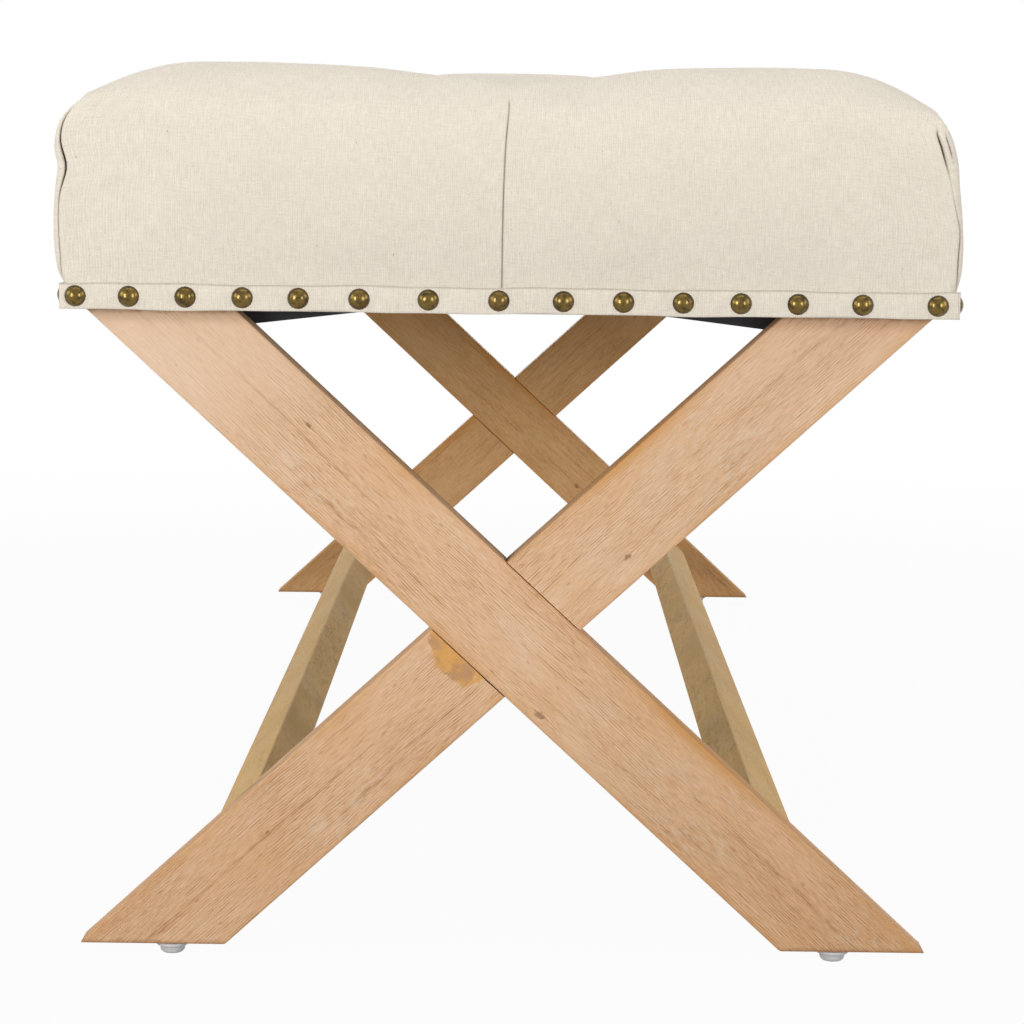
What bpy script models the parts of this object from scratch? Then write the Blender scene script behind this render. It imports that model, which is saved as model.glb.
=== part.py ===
"""Upholstered bench on two X frames.

Metres, +Z up. X runs across the bench, Y along it, and the origin is on the floor under the seat's centre.
The front is the end at -Y, and left is -X.
"""
import math

import bmesh
import bpy
import numpy as np
from mathutils import Matrix, Vector

# Overall sizes
SEAT_WIDTH = 0.461
SEAT_LENGTH = 1.170
SEAT_DEPTH = 0.126            # from the trim's lower edge up to the crown
LEG_RISE = 0.342              # from the foot of a leg up to the trim's lower edge

# Clearance between pieces that touch
FIT_GAP = 0.0003

# Linen cover and trim
COVER_THICKNESS = 0.0014
BAND_THICKNESS = 0.0012
BAND_HEIGHT = 0.0135
SHOULDER_RUN = 0.073          # how far in from the side the top starts to fall
SHOULDER_DROP = 0.027         # how far it has fallen at the side
CORNER_SOFTENING = 0.4        # share by which the two falls add up at a corner
EDGE_INSET = 0.005            # from the side in to the edge where top and side meet
SIDE_BULGE = 0.0022
BULGE_DROP = 0.048            # from the crown down to where the sides bulge most
CORNER_RADIUS = 0.010

# Tufts, in a diamond pattern whose first and last columns hold one button
TUFT_COLUMNS = 9
TUFT_END_MARGIN = 0.085
TUFT_SIDE_MARGIN = 0.1155     # from the seat's side in to the outer rows
TUFT_DEPTH = 0.021
TUFT_REACH = 0.045
PLEAT_DEPTH = 0.006
PLEAT_REACH = 0.015
PLEAT_START = 0.040           # distance from a tuft over which a pleat deepens
BUTTON_RADIUS = 0.011
BUTTON_CROWN = 0.005
BUTTON_EDGE = 0.0015
BUTTON_SHOULDER = (0.6, 0.75)     # a point of its dome, in shares of the radius and of the crown
TWINE_RADIUS = 0.0015
KNOT_RADIUS = 0.005
KNOT_HEIGHT = 0.003

# Domed trim nails
NAIL_RADIUS = 0.0055
NAIL_DOME = 0.0032
NAIL_SHOULDER = (0.68, 0.68)      # a point of its dome, in shares of the radius and of the dome
NAIL_SINK = 0.0005            # how far the dome's rim presses into the band
NAIL_PITCH = 0.0315
NAIL_END_MARGIN = 0.0083
NAIL_WANDER = (-0.269, -0.081, -0.121, 0.089)   # slow drift of the hand-set spacing, in pitches

# Seat frame
RAIL_THICKNESS = 0.018
RAIL_HEIGHT = 0.042
END_RAIL_THICKNESS = 0.016
BRACE_THICKNESS = 0.018
BRACE_COLUMN = 1.5            # from the middle, in tuft columns, so that the twine passes beside it
DECK_THICKNESS = 0.009
MOUNT_RAIL_THICKNESS = 0.020
MOUNT_RAIL_DROP = 0.012       # how far its ends hang below the frame, beside the legs
MOUNT_RAIL_LIP = 0.049        # level length of the lower edge beside the legs
MOUNT_RAIL_SLOPE = 0.100      # length over which the lower edge rises towards the middle
DUST_COVER_THICKNESS = 0.0010
DUST_COVER_INSET = 0.008

# X frames
LEG_WIDTH = 0.053
LEG_THICKNESS = 0.019
LEG_TOP_INSET = 0.0095        # from the seat's side in to the legs' tips where they meet the seat
LEG_FOOT_INSET = 0.003        # from the seat's side in to the tips of the feet
LEG_ARRIS = 0.0011
TONGUE_TOP_WIDTH = 0.010      # least width of the tongue that rises into the seat frame
STRETCHER_WIDTH = 0.032
STRETCHER_THICKNESS = 0.023
STRETCHER_RISE = 0.048        # from the foot of the leg up to the stretcher's centre
STRETCHER_SET_BACK = 0.0095   # from the leg's upper edge in to the stretcher's wide face
STRETCHER_ARRIS = 0.0014

# Fasteners and glides
BOLT_RADIUS = 0.003
BOLT_HEAD_RADIUS = 0.0055
BOLT_HEAD_HEIGHT = 0.004
BOLT_BITE = 0.014             # how far a bolt goes into the leg
BOLT_RISE = 0.014             # above the frame's lower face
BOLT_EDGE = 0.011             # from the long rail to the outer bolt
BOLT_SPACING = 0.020
DOWEL_RADIUS = 0.004
DOWEL_LEG_DEPTH = 0.011
DOWEL_STRETCHER_DEPTH = 0.014
DOWEL_SPACING = 0.016
GLIDE_HEIGHT = 0.006
GLIDE_RADIUS = 0.009
GLIDE_FLAT_RADIUS = 0.005
GLIDE_WAIST = (0.97, 0.55)        # a point of its side, in shares of the radius and of the height
GLIDE_TOE_HEIGHT = 0.13           # height of the turn into the wearing face, as a share of the height
GLIDE_FROM_TIP = 0.049
GLIDE_NAIL_RADIUS = 0.0012
GLIDE_NAIL_LENGTH = 0.015

# Facets of the round pieces
NAIL_SIDES = 8
BUTTON_SIDES = 8
TWINE_BORE_SIDES = 6
BORE_SIDES = 10
GLIDE_SIDES = 16
SPLIT_TOLERANCE = 1e-6        # heights closer than this count as level

# Heights
FOOT_Z = GLIDE_HEIGHT + FIT_GAP
HEM_Z = FOOT_Z + LEG_RISE
CROWN_Z = HEM_Z + SEAT_DEPTH
FRAME_Z = HEM_Z
DECK_Z = FRAME_Z + RAIL_HEIGHT + FIT_GAP
FOAM_Z = DECK_Z + DECK_THICKNESS + FIT_GAP
SIDE_START_Z = FOAM_Z + FIT_GAP           # below this the sides are flat against the frame

# How much the frame's corners are cut back under the cover's rounded ones
CORNER_CUT = EDGE_INSET + CORNER_RADIUS

# Half sizes across and along, from the outside in
BAND_HALF = (SEAT_WIDTH / 2, SEAT_LENGTH / 2)
COVER_HALF = tuple(half - BAND_THICKNESS - FIT_GAP for half in BAND_HALF)
FRAME_HALF = tuple(half - COVER_THICKNESS - FIT_GAP for half in COVER_HALF)
INSIDE_HALF_X = FRAME_HALF[0] - RAIL_THICKNESS - FIT_GAP
LEG_OUTER_Y = FRAME_HALF[1] - END_RAIL_THICKNESS - FIT_GAP
LEG_INNER_Y = LEG_OUTER_Y - LEG_THICKNESS
LEG_MID_Y = (LEG_OUTER_Y + LEG_INNER_Y) / 2
MOUNT_RAIL_OUTER_Y = LEG_INNER_Y - FIT_GAP
MOUNT_RAIL_INNER_Y = MOUNT_RAIL_OUTER_Y - MOUNT_RAIL_THICKNESS

# Tufts, from the middle of the seat
TUFT_PITCH = (SEAT_LENGTH - 2 * TUFT_END_MARGIN) / (TUFT_COLUMNS - 1)
TUFT_ROW_OFFSET = SEAT_WIDTH / 2 - TUFT_SIDE_MARGIN

# The legs' slope, from their rise, their spread and their width
LEG_TOP_SPREAD = SEAT_WIDTH - 2 * LEG_TOP_INSET
LEG_FOOT_SPREAD = SEAT_WIDTH - 2 * LEG_FOOT_INSET
LEG_SPAN = (LEG_TOP_SPREAD + LEG_FOOT_SPREAD) / 2
LEG_ANGLE = math.atan2(LEG_RISE, LEG_SPAN) + math.asin(LEG_WIDTH / math.hypot(LEG_SPAN, LEG_RISE))
LEG_CUT = LEG_WIDTH / math.sin(LEG_ANGLE)
LAP_Z = FOOT_Z + (LEG_FOOT_SPREAD - LEG_CUT) / 2 * math.tan(LEG_ANGLE)

# Colour, roughness and metallic value of each finish
FINISHES = {
    "linen": ((0.79, 0.74, 0.62), 0.95, 0.0),
    "foam": ((0.90, 0.86, 0.66), 0.95, 0.0),
    "plywood": ((0.70, 0.55, 0.36), 0.80, 0.0),
    "frame_wood": ((0.66, 0.52, 0.34), 0.85, 0.0),
    "black_paint": ((0.02, 0.02, 0.02), 0.60, 0.0),
    "black_cloth": ((0.02, 0.02, 0.02), 0.95, 0.0),
    "leg_wood": ((0.66, 0.45, 0.28), 0.70, 0.0),
    "stretcher_wood": ((0.62, 0.49, 0.29), 0.75, 0.0),
    "dowel_wood": ((0.72, 0.56, 0.36), 0.80, 0.0),
    "steel": ((0.60, 0.60, 0.62), 0.35, 1.0),
    "glide_plastic": ((0.62, 0.62, 0.62), 0.45, 0.0),
}


def clear_scene():
    """Start from an empty scene."""
    for item in list(bpy.data.objects):
        bpy.data.objects.remove(item, do_unlink=True)


def finish(name):
    """A plain Principled material for one of the finishes, made once."""
    made = bpy.data.materials.get(name)
    if made:
        return made
    colour, roughness, metallic = FINISHES[name]
    made = bpy.data.materials.new(name)
    made.use_nodes = True
    shader = made.node_tree.nodes["Principled BSDF"]
    shader.inputs["Base Color"].default_value = (*colour, 1.0)
    shader.inputs["Roughness"].default_value = roughness
    shader.inputs["Metallic"].default_value = metallic
    return made


def add_piece(name, mesh_data, finish_name):
    """Put a mesh in the scene as a named piece."""
    mesh_data.name = name
    mesh_data.materials.clear()
    mesh_data.materials.append(finish(finish_name))
    piece = bpy.data.objects.new(name, mesh_data)
    bpy.context.collection.objects.link(piece)
    return piece


def add_group(name, place, turn=0.0):
    """An empty that carries pieces, turned about Z."""
    group = bpy.data.objects.new(name, None)
    bpy.context.collection.objects.link(group)
    group.location = place
    group.rotation_euler = (0.0, 0.0, turn)
    return group


def to_mesh(shape):
    """A mesh from a bmesh, with its faces pointing out."""
    bmesh.ops.recalc_face_normals(shape, faces=shape.faces)
    data = bpy.data.meshes.new("mesh")
    shape.to_mesh(data)
    shape.free()
    return data


def box(size, centre=(0.0, 0.0, 0.0), turn=None):
    """A box of a size about a centre, turned by a rotation matrix."""
    shape = bmesh.new()
    place = Matrix.Translation(centre) @ (turn or Matrix.Identity(4)) @ Matrix.Diagonal((*size, 1.0))
    bmesh.ops.create_cube(shape, size=1.0, matrix=place)
    return to_mesh(shape)


def prism(outline, low, high, along):
    """A flat outline pushed out along Y (outline in X and Z) or along Z (outline in X and Y)."""
    shape = bmesh.new()
    if along == "Y":
        corners = [shape.verts.new((a, low, b)) for a, b in outline]
        push = Vector((0.0, high - low, 0.0))
    else:
        corners = [shape.verts.new((a, b, low)) for a, b in outline]
        push = Vector((0.0, 0.0, high - low))
    base = shape.faces.new(corners)
    grown = bmesh.ops.extrude_face_region(shape, geom=[base])
    moved = [item for item in grown["geom"] if isinstance(item, bmesh.types.BMVert)]
    bmesh.ops.translate(shape, verts=moved, vec=push)
    return to_mesh(shape)


def turn_profile(shape, profile, sides, place):
    """Turn a profile of (radius, height) points, with its ends on the axis, into a closed body."""
    rings = []
    for radius, height in profile:
        if radius == 0.0:
            rings.append([shape.verts.new(place @ Vector((0.0, 0.0, height)))])
            continue
        angles = [2 * math.pi * (step + 0.5) / sides for step in range(sides)]
        points = [Vector((radius * math.cos(a), radius * math.sin(a), height)) for a in angles]
        rings.append([shape.verts.new(place @ point) for point in points])
    for first, second in zip(rings, rings[1:]):
        for step in range(sides):
            after = (step + 1) % sides
            corners = [first[step % len(first)], first[after % len(first)],
                       second[after % len(second)], second[step % len(second)]]
            shape.faces.new(list(dict.fromkeys(corners)))


def turned(profile, sides, places=(Matrix.Identity(4),)):
    """One mesh with a turned body at each place."""
    shape = bmesh.new()
    for place in places:
        turn_profile(shape, profile, sides, place)
    return to_mesh(shape)


def rods(radius, low, high, places, sides=BORE_SIDES):
    """Plain round bars from one height to another, one at each place."""
    return turned([(0.0, high), (radius, high), (radius, low), (0.0, low)], sides, places)


def combine(piece, tool_mesh, operation):
    """Cut a tool out of a piece, or join it on, and keep the result as the piece's own mesh."""
    tool = bpy.data.objects.new("tool", tool_mesh)
    bpy.context.collection.objects.link(tool)
    change = piece.modifiers.new("combine", "BOOLEAN")
    change.operation = operation
    change.solver = "EXACT"
    change.object = tool
    graph = bpy.context.evaluated_depsgraph_get()
    result = bpy.data.meshes.new_from_object(piece.evaluated_get(graph))
    piece.modifiers.clear()
    piece.data = result
    bpy.data.objects.remove(tool, do_unlink=True)


def ease_edges(piece, width):
    """Round the outer edges of a board a little, and leave its inner corners sharp."""
    shape = bmesh.new()
    shape.from_mesh(piece.data)
    edges = [edge for edge in shape.edges if edge.is_convex]
    bmesh.ops.bevel(shape, geom=edges, offset=width, segments=2, profile=0.5, affect="EDGES",
                    clamp_overlap=True)
    shape.to_mesh(piece.data)
    shape.free()


def smooth(piece, angle=40.0):
    """Shade a round piece smooth, apart from its sharp edges."""
    piece.data.shade_smooth()
    piece.data.set_sharp_from_angle(angle=math.radians(angle))


# The cushion's form

def column_place(column):
    """Distance along the bench of a column of tufts."""
    return (column - (TUFT_COLUMNS - 1) / 2) * TUFT_PITCH


def row_places(column):
    """Distances across the bench of a column's tufts: one in the middle, or two at the sides, in turn."""
    return (0.0,) if column % 2 == 0 else (-TUFT_ROW_OFFSET, TUFT_ROW_OFFSET)


def tuft_places():
    """Centres of all the tufts."""
    return [(x, column_place(column)) for column in range(TUFT_COLUMNS) for x in row_places(column)]


def pleat_lines():
    """Folds between neighbouring tufts, and from the outer tufts straight to the nearest side."""
    lines = []
    for column in range(TUFT_COLUMNS):
        y = column_place(column)
        if column + 1 < TUFT_COLUMNS:
            after = column_place(column + 1)
            pairs = [(x, next_x) for x in row_places(column) for next_x in row_places(column + 1)]
            lines.extend(((x, y), (next_x, after)) for x, next_x in pairs)
        if column in (0, TUFT_COLUMNS - 1):
            lines.extend(((x, y), (x, math.copysign(COVER_HALF[1], y))) for x in row_places(column))
        lines.extend(((x, y), (math.copysign(COVER_HALF[0], x), y)) for x in row_places(column) if x)
    return lines


def distance_to_line(x, y, line):
    """Distance from points to a straight stretch between two ends."""
    (ax, ay), (bx, by) = line
    run_x, run_y = bx - ax, by - ay
    share = ((x - ax) * run_x + (y - ay) * run_y) / (run_x ** 2 + run_y ** 2)
    share = np.clip(share, 0.0, 1.0)
    return np.hypot(x - ax - share * run_x, y - ay - share * run_y)


def top_height(x, y, inset=0.0):
    """Height of the cushion's top: a crown with falling shoulders, pulled down at tufts and pleats."""
    falls = []
    for place, half in ((x, COVER_HALF[0]), (y, COVER_HALF[1])):
        from_side = half - inset - np.abs(place)
        falls.append(np.clip(1 - from_side / SHOULDER_RUN, 0.0, 1.0) ** 2)
    fall = falls[0] + falls[1] - (1 - CORNER_SOFTENING) * falls[0] * falls[1]
    nearest = np.min([np.hypot(x - tx, y - ty) for tx, ty in tuft_places()], axis=0)
    nearest_pleat = np.min([distance_to_line(x, y, line) for line in pleat_lines()], axis=0)
    dip = TUFT_DEPTH * np.exp(-nearest / TUFT_REACH)
    fold = PLEAT_DEPTH * np.exp(-(nearest_pleat / PLEAT_REACH) ** 2) * (1 - np.exp(-nearest / PLEAT_START))
    return CROWN_Z - inset - SHOULDER_DROP * fall - dip - fold


def grid_lines(inset):
    """Lines across and along the top, through every tuft and close together at the sides."""
    edge_x, edge_y = (half - inset - EDGE_INSET for half in COVER_HALF)
    round_x, round_y = (half - inset - CORNER_CUT for half in COVER_HALF)
    half_x = [TUFT_ROW_OFFSET / 2, TUFT_ROW_OFFSET, (TUFT_ROW_OFFSET + round_x) / 2, round_x, edge_x]
    columns = [TUFT_PITCH / 2 * step for step in range(1, TUFT_COLUMNS)]
    half_y = columns + [(columns[-1] + round_y) / 2, round_y, edge_y]
    return [np.array([-value for value in reversed(half)] + [0.0] + half) for half in (half_x, half_y)]


def split_along_valley(corners, heights):
    """Split a four-sided face into two along its lower diagonal, so that the folds run true."""
    a, b, c, d = corners
    if heights[0] + heights[2] <= heights[1] + heights[3] + SPLIT_TOLERANCE:
        return [(a, b, c), (a, c, d)]
    return [(a, b, d), (b, c, d)]


def cushion_surface(inset, hem_z):
    """Points and faces of the cushion's top and sides, and the ring of points along its lower edge.

    The top is a grid of heights. Below its edge the sides come out to a slight bulge, go back to the frame's
    face and run straight down to the hem.
    """
    lines_x, lines_y = grid_lines(inset)
    count_x, count_y = len(lines_x), len(lines_y)
    grid_x, grid_y = np.meshgrid(lines_x, lines_y, indexing="ij")
    grid_z = top_height(grid_x, grid_y, inset)
    points = list(zip(grid_x.ravel(), grid_y.ravel(), grid_z.ravel()))
    index = np.arange(count_x * count_y).reshape(count_x, count_y)
    faces = []
    for i in range(count_x - 1):
        for j in range(count_y - 1):
            corners = (index[i, j], index[i + 1, j], index[i + 1, j + 1], index[i, j + 1])
            faces.extend(split_along_valley(corners, [grid_z.flat[corner] for corner in corners]))
    edge = np.concatenate([index[:-1, 0], index[-1, :-1], index[:0:-1, -1], index[0, :0:-1]])
    edge_x, edge_y = grid_x.flat[edge], grid_y.flat[edge]
    levels = ((SIDE_BULGE, CROWN_Z - BULGE_DROP), (0.0, SIDE_START_Z), (0.0, hem_z))
    ring = edge
    for out, height in levels:
        start = len(points)
        side_x, side_y = side_line(edge_x, edge_y, inset - out)
        points.extend(zip(side_x, side_y, np.full(len(edge), height)))
        below = np.arange(start, len(points))
        for step in range(len(ring)):
            after = (step + 1) % len(ring)
            faces.append((ring[step], below[step], below[after]))
            faces.append((ring[step], below[after], ring[after]))
        ring = below
    return points, faces, ring


def side_line(edge_x, edge_y, inset):
    """Where the points of the top's edge come down the sides, with the corners rounded."""
    half_x, half_y = (half - inset for half in COVER_HALF)
    on_x = np.abs(edge_x) == edge_x.max()
    on_y = np.abs(edge_y) == edge_y.max()
    corner = np.where(on_x & on_y, CORNER_RADIUS * (1 - math.sqrt(0.5)), 0.0)
    side_x = np.where(on_x, np.sign(edge_x) * (half_x - corner), edge_x)
    side_y = np.where(on_y, np.sign(edge_y) * (half_y - corner), edge_y)
    return side_x, side_y


def mesh_from(points, faces):
    """A closed mesh from points and faces."""
    data = bpy.data.meshes.new("mesh")
    data.from_pydata([tuple(map(float, point)) for point in points], [],
                     [tuple(map(int, face)) for face in faces])
    shape = bmesh.new()
    shape.from_mesh(data)
    bpy.data.meshes.remove(data)
    return to_mesh(shape)


def twine_bores():
    """Bores for the tuft twine, right through the seat, with their flats clear of the twine."""
    radius = (TWINE_RADIUS + FIT_GAP) / math.cos(math.pi / TWINE_BORE_SIDES)
    places = [Matrix.Translation((x, y, 0.0)) for x, y in tuft_places()]
    return rods(radius, FRAME_Z, CROWN_Z, places, TWINE_BORE_SIDES)


def make_cover():
    """The linen cover: a shell over the foam and the frame, open below."""
    outer, outer_faces, outer_ring = cushion_surface(0.0, HEM_Z)
    inner, inner_faces, inner_ring = cushion_surface(COVER_THICKNESS, HEM_Z)
    shift = len(outer)
    faces = outer_faces + [tuple(k + shift for k in reversed(face)) for face in inner_faces]
    for step in range(len(outer_ring)):
        after = (step + 1) % len(outer_ring)
        inner_step, inner_after = inner_ring[step] + shift, inner_ring[after] + shift
        faces.append((outer_ring[step], inner_step, inner_after, outer_ring[after]))
    cover = add_piece("seat_cover", mesh_from(outer + inner, faces), "linen")
    combine(cover, twine_bores(), "DIFFERENCE")
    smooth(cover)


def make_foam():
    """The foam pad, just inside the cover and standing on the deck."""
    points, faces, ring = cushion_surface(COVER_THICKNESS + FIT_GAP, FOAM_Z)
    faces.append(tuple(reversed(ring)))
    foam = add_piece("foam_pad", mesh_from(points, faces), "foam")
    combine(foam, twine_bores(), "DIFFERENCE")
    smooth(foam)


def make_buttons():
    """Covered buttons, each seated in its tuft and tied down by its twine to a knot under the deck."""
    around = [2 * math.pi * step / BUTTON_SIDES for step in range(BUTTON_SIDES)]
    knot_z = DECK_Z - FIT_GAP
    for number, (x, y) in enumerate(tuft_places(), start=1):
        rim_x = np.array([x + BUTTON_RADIUS * math.cos(angle) for angle in around])
        rim_y = np.array([y + BUTTON_RADIUS * math.sin(angle) for angle in around])
        rim_z = float(top_height(rim_x, rim_y).max()) + FIT_GAP
        neck_z = float(top_height(np.array([x]), np.array([y]))[0]) + FIT_GAP
        edge_z = rim_z + BUTTON_EDGE
        profile = [(0.0, edge_z + BUTTON_CROWN),
                   (BUTTON_SHOULDER[0] * BUTTON_RADIUS, edge_z + BUTTON_SHOULDER[1] * BUTTON_CROWN),
                   (BUTTON_RADIUS, edge_z),
                   (BUTTON_RADIUS, rim_z),
                   (TWINE_RADIUS, max(neck_z, rim_z - BUTTON_EDGE)),
                   (TWINE_RADIUS, knot_z),
                   (KNOT_RADIUS, knot_z),
                   (KNOT_RADIUS, knot_z - KNOT_HEIGHT),
                   (0.0, knot_z - KNOT_HEIGHT)]
        lowered = [(radius, height - rim_z) for radius, height in profile]
        button = add_piece(f"tuft_button_{number:02d}", turned(lowered, BUTTON_SIDES), "linen")
        button.location = (x, y, rim_z)
        smooth(button)


# Trim

def nail_line(length):
    """Distances of the nails from the middle of a band, hand-set with a slow drift."""
    reach = length - 2 * NAIL_END_MARGIN
    spaces = max(1, round(reach / NAIL_PITCH))
    share = np.arange(spaces + 1) / spaces
    drift = sum(size * np.sin((order + 1) * math.pi * share) for order, size in enumerate(NAIL_WANDER))
    return (share - 0.5) * reach + drift * reach / spaces


def make_trim(name, length, place, turn):
    """A band of folded linen held by a row of domed nails. Its outer face looks along its own -Y."""
    band = add_piece(name, box((length, BAND_THICKNESS, BAND_HEIGHT)), "linen")
    shoulder = (NAIL_SHOULDER[0] * NAIL_RADIUS, NAIL_SHOULDER[1] * NAIL_DOME)
    dome = [(0.0, NAIL_DOME), shoulder, (NAIL_RADIUS, 0.0), (NAIL_RADIUS, -NAIL_SINK), (0.0, -NAIL_SINK)]
    outward = Matrix.Rotation(math.radians(90), 4, "X")
    heads = [Matrix.Translation((along, -BAND_THICKNESS / 2, 0.0)) @ outward for along in nail_line(length)]
    combine(band, turned(dome, NAIL_SIDES, heads), "UNION")
    band.location = place
    band.rotation_euler = (0.0, 0.0, turn)


def make_trims():
    """The end bands run the full width, and the side bands fit between them."""
    middle_z = HEM_Z + BAND_HEIGHT / 2
    out_x, out_y = (half - BAND_THICKNESS / 2 for half in BAND_HALF)
    side_length = SEAT_LENGTH - 2 * (BAND_THICKNESS + FIT_GAP)
    make_trim("trim_front", SEAT_WIDTH, (0.0, -out_y, middle_z), 0.0)
    make_trim("trim_back", SEAT_WIDTH, (0.0, out_y, middle_z), math.pi)
    make_trim("trim_left", side_length, (-out_x, 0.0, middle_z), -math.pi / 2)
    make_trim("trim_right", side_length, (out_x, 0.0, middle_z), math.pi / 2)


# Seat frame

def make_rails():
    """Long rails with eased outer corners, end rails between them, and braces between columns of tufts."""
    half_x, half_y = FRAME_HALF
    for name, side in (("long_rail_left", -1), ("long_rail_right", 1)):
        outer, inner = side * half_x, side * (half_x - RAIL_THICKNESS)
        eased = side * (half_x - CORNER_CUT)
        outline = [(inner, -half_y), (eased, -half_y), (outer, -half_y + CORNER_CUT),
                   (outer, half_y - CORNER_CUT), (eased, half_y), (inner, half_y)]
        add_piece(name, prism(outline, FRAME_Z, FRAME_Z + RAIL_HEIGHT, "Z"), "frame_wood")
    middle_z = FRAME_Z + RAIL_HEIGHT / 2
    end_y = half_y - END_RAIL_THICKNESS / 2
    brace_y = BRACE_COLUMN * TUFT_PITCH
    crossing = (("end_rail_front", END_RAIL_THICKNESS, -end_y), ("end_rail_back", END_RAIL_THICKNESS, end_y),
                ("brace_front", BRACE_THICKNESS, -brace_y), ("brace_back", BRACE_THICKNESS, brace_y))
    for name, thickness, y in crossing:
        rail = add_piece(name, box((2 * INSIDE_HALF_X, thickness, RAIL_HEIGHT)), "frame_wood")
        rail.location = (0.0, y, middle_z)


def make_deck():
    """The plywood deck on the rails, with holes for the tuft twine."""
    half_x, half_y = FRAME_HALF
    eased_x, eased_y = half_x - CORNER_CUT, half_y - CORNER_CUT
    outline = [(-eased_x, -half_y), (eased_x, -half_y), (half_x, -eased_y), (half_x, eased_y),
               (eased_x, half_y), (-eased_x, half_y), (-half_x, eased_y), (-half_x, -eased_y)]
    deck = add_piece("seat_deck", prism(outline, DECK_Z, DECK_Z + DECK_THICKNESS, "Z"), "plywood")
    combine(deck, twine_bores(), "DIFFERENCE")


def bolt_places():
    """Across and up, from the bench's middle and the floor, for the two bolts in a right-hand leg top."""
    outer = INSIDE_HALF_X - BOLT_EDGE
    height = FRAME_Z + BOLT_RISE
    return [(outer, height), (outer - BOLT_SPACING, height)]


def along_y(x, y, z):
    """A place whose own Z axis looks along +Y."""
    return Matrix.Translation((x, y, z)) @ Matrix.Rotation(math.radians(-90), 4, "X")


def make_mount_rail(name, group):
    """A rail behind the leg tops, arched below so that it hangs down only beside the legs."""
    low = FRAME_Z - MOUNT_RAIL_DROP
    top = FRAME_Z + RAIL_HEIGHT
    slope_end = INSIDE_HALF_X - MOUNT_RAIL_LIP
    slope_start = slope_end - MOUNT_RAIL_SLOPE
    right = [(slope_start, FRAME_Z), (slope_end, low), (INSIDE_HALF_X, low), (INSIDE_HALF_X, top)]
    outline = right + [(-x, z) for x, z in reversed(right)]
    start = LEG_THICKNESS / 2 + FIT_GAP
    rail = add_piece(name, prism(outline, start, start + MOUNT_RAIL_THICKNESS, "Y"), "black_paint")
    holes = [along_y(side * x, 0.0, z) for x, z in bolt_places() for side in (-1, 1)]
    combine(rail, rods(BOLT_RADIUS + FIT_GAP, 0.0, start + 2 * MOUNT_RAIL_THICKNESS, holes), "DIFFERENCE")
    rail.parent = group


def make_bolts(end, group):
    """Bolts through the mounting rail into the leg tops, with their heads inside the seat."""
    seat = LEG_THICKNESS / 2 + 2 * FIT_GAP + MOUNT_RAIL_THICKNESS
    tip = LEG_THICKNESS / 2 - BOLT_BITE
    profile = [(0.0, seat + BOLT_HEAD_HEIGHT), (BOLT_HEAD_RADIUS, seat + BOLT_HEAD_HEIGHT),
               (BOLT_HEAD_RADIUS, seat), (BOLT_RADIUS, seat), (BOLT_RADIUS, tip), (0.0, tip)]
    number = 0
    for side in (-1, 1):
        for x, z in bolt_places():
            number += 1
            bolt = add_piece(f"leg_bolt_{end}_{number}", turned(profile, BORE_SIDES), "steel")
            bolt.matrix_local = along_y(side * x, 0.0, z)
            bolt.parent = group
            smooth(bolt)


def make_dust_cover():
    """Black cloth stapled under the frame, between the mounting rails."""
    half_x, half_y = FRAME_HALF[0] - DUST_COVER_INSET, MOUNT_RAIL_INNER_Y - FIT_GAP
    size = (2 * half_x, 2 * half_y, DUST_COVER_THICKNESS)
    cloth = add_piece("dust_cover", box(size), "black_cloth")
    cloth.location = (0.0, 0.0, FRAME_Z - FIT_GAP - DUST_COVER_THICKNESS / 2)


# X frames

def leg_outline():
    """Outline of the board whose foot is on the right: straight sides, level foot, and a tongue at its top.

    The shoulder sits under the long rail. The tongue rises inside it, narrowing along the board's upper edge.
    """
    slope = math.tan(LEG_ANGLE)
    shoulder_z = FRAME_Z - FIT_GAP
    foot_tip = LEG_FOOT_SPREAD / 2
    top_tip = -LEG_TOP_SPREAD / 2
    top_edge = top_tip + LEG_CUT
    run_out = (top_edge + INSIDE_HALF_X - TONGUE_TOP_WIDTH) * slope
    tongue_rise = min(RAIL_HEIGHT, run_out)
    tongue_edge = top_edge - tongue_rise / slope
    return [(foot_tip - LEG_CUT, FOOT_Z), (foot_tip, FOOT_Z), (tongue_edge, shoulder_z + tongue_rise),
            (-INSIDE_HALF_X, shoulder_z + tongue_rise), (-INSIDE_HALF_X, shoulder_z), (top_tip, shoulder_z)]


def stretcher_centre():
    """Centre of the right-hand stretcher's section, under the upper edge of the leg that carries it."""
    below_edge = STRETCHER_SET_BACK + STRETCHER_THICKNESS / 2
    along = (STRETCHER_RISE + below_edge * math.cos(LEG_ANGLE)) / math.sin(LEG_ANGLE)
    x = LEG_FOOT_SPREAD / 2 - along * math.cos(LEG_ANGLE) - below_edge * math.sin(LEG_ANGLE)
    return x, FOOT_Z + STRETCHER_RISE


def dowel_places():
    """Across and up for the two dowels in the foot end of a leg whose foot is on the right."""
    x, z = stretcher_centre()
    step_x = DOWEL_SPACING / 2 * math.cos(LEG_ANGLE)
    step_z = DOWEL_SPACING / 2 * math.sin(LEG_ANGLE)
    return [(x + sign * step_x, z - sign * step_z) for sign in (-1, 1)]


def lap_notch(side):
    """The half of a leg's thickness that the crossing leg takes up."""
    lean = Matrix.Rotation(-side * LEG_ANGLE, 4, "Y")
    depth = LEG_THICKNESS
    middle = side * (depth - FIT_GAP) / 2
    length = 2 * (LEG_WIDTH + LEG_CUT)
    return box((length, depth, LEG_WIDTH + 2 * FIT_GAP), (0.0, middle, LAP_Z), lean)


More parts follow.
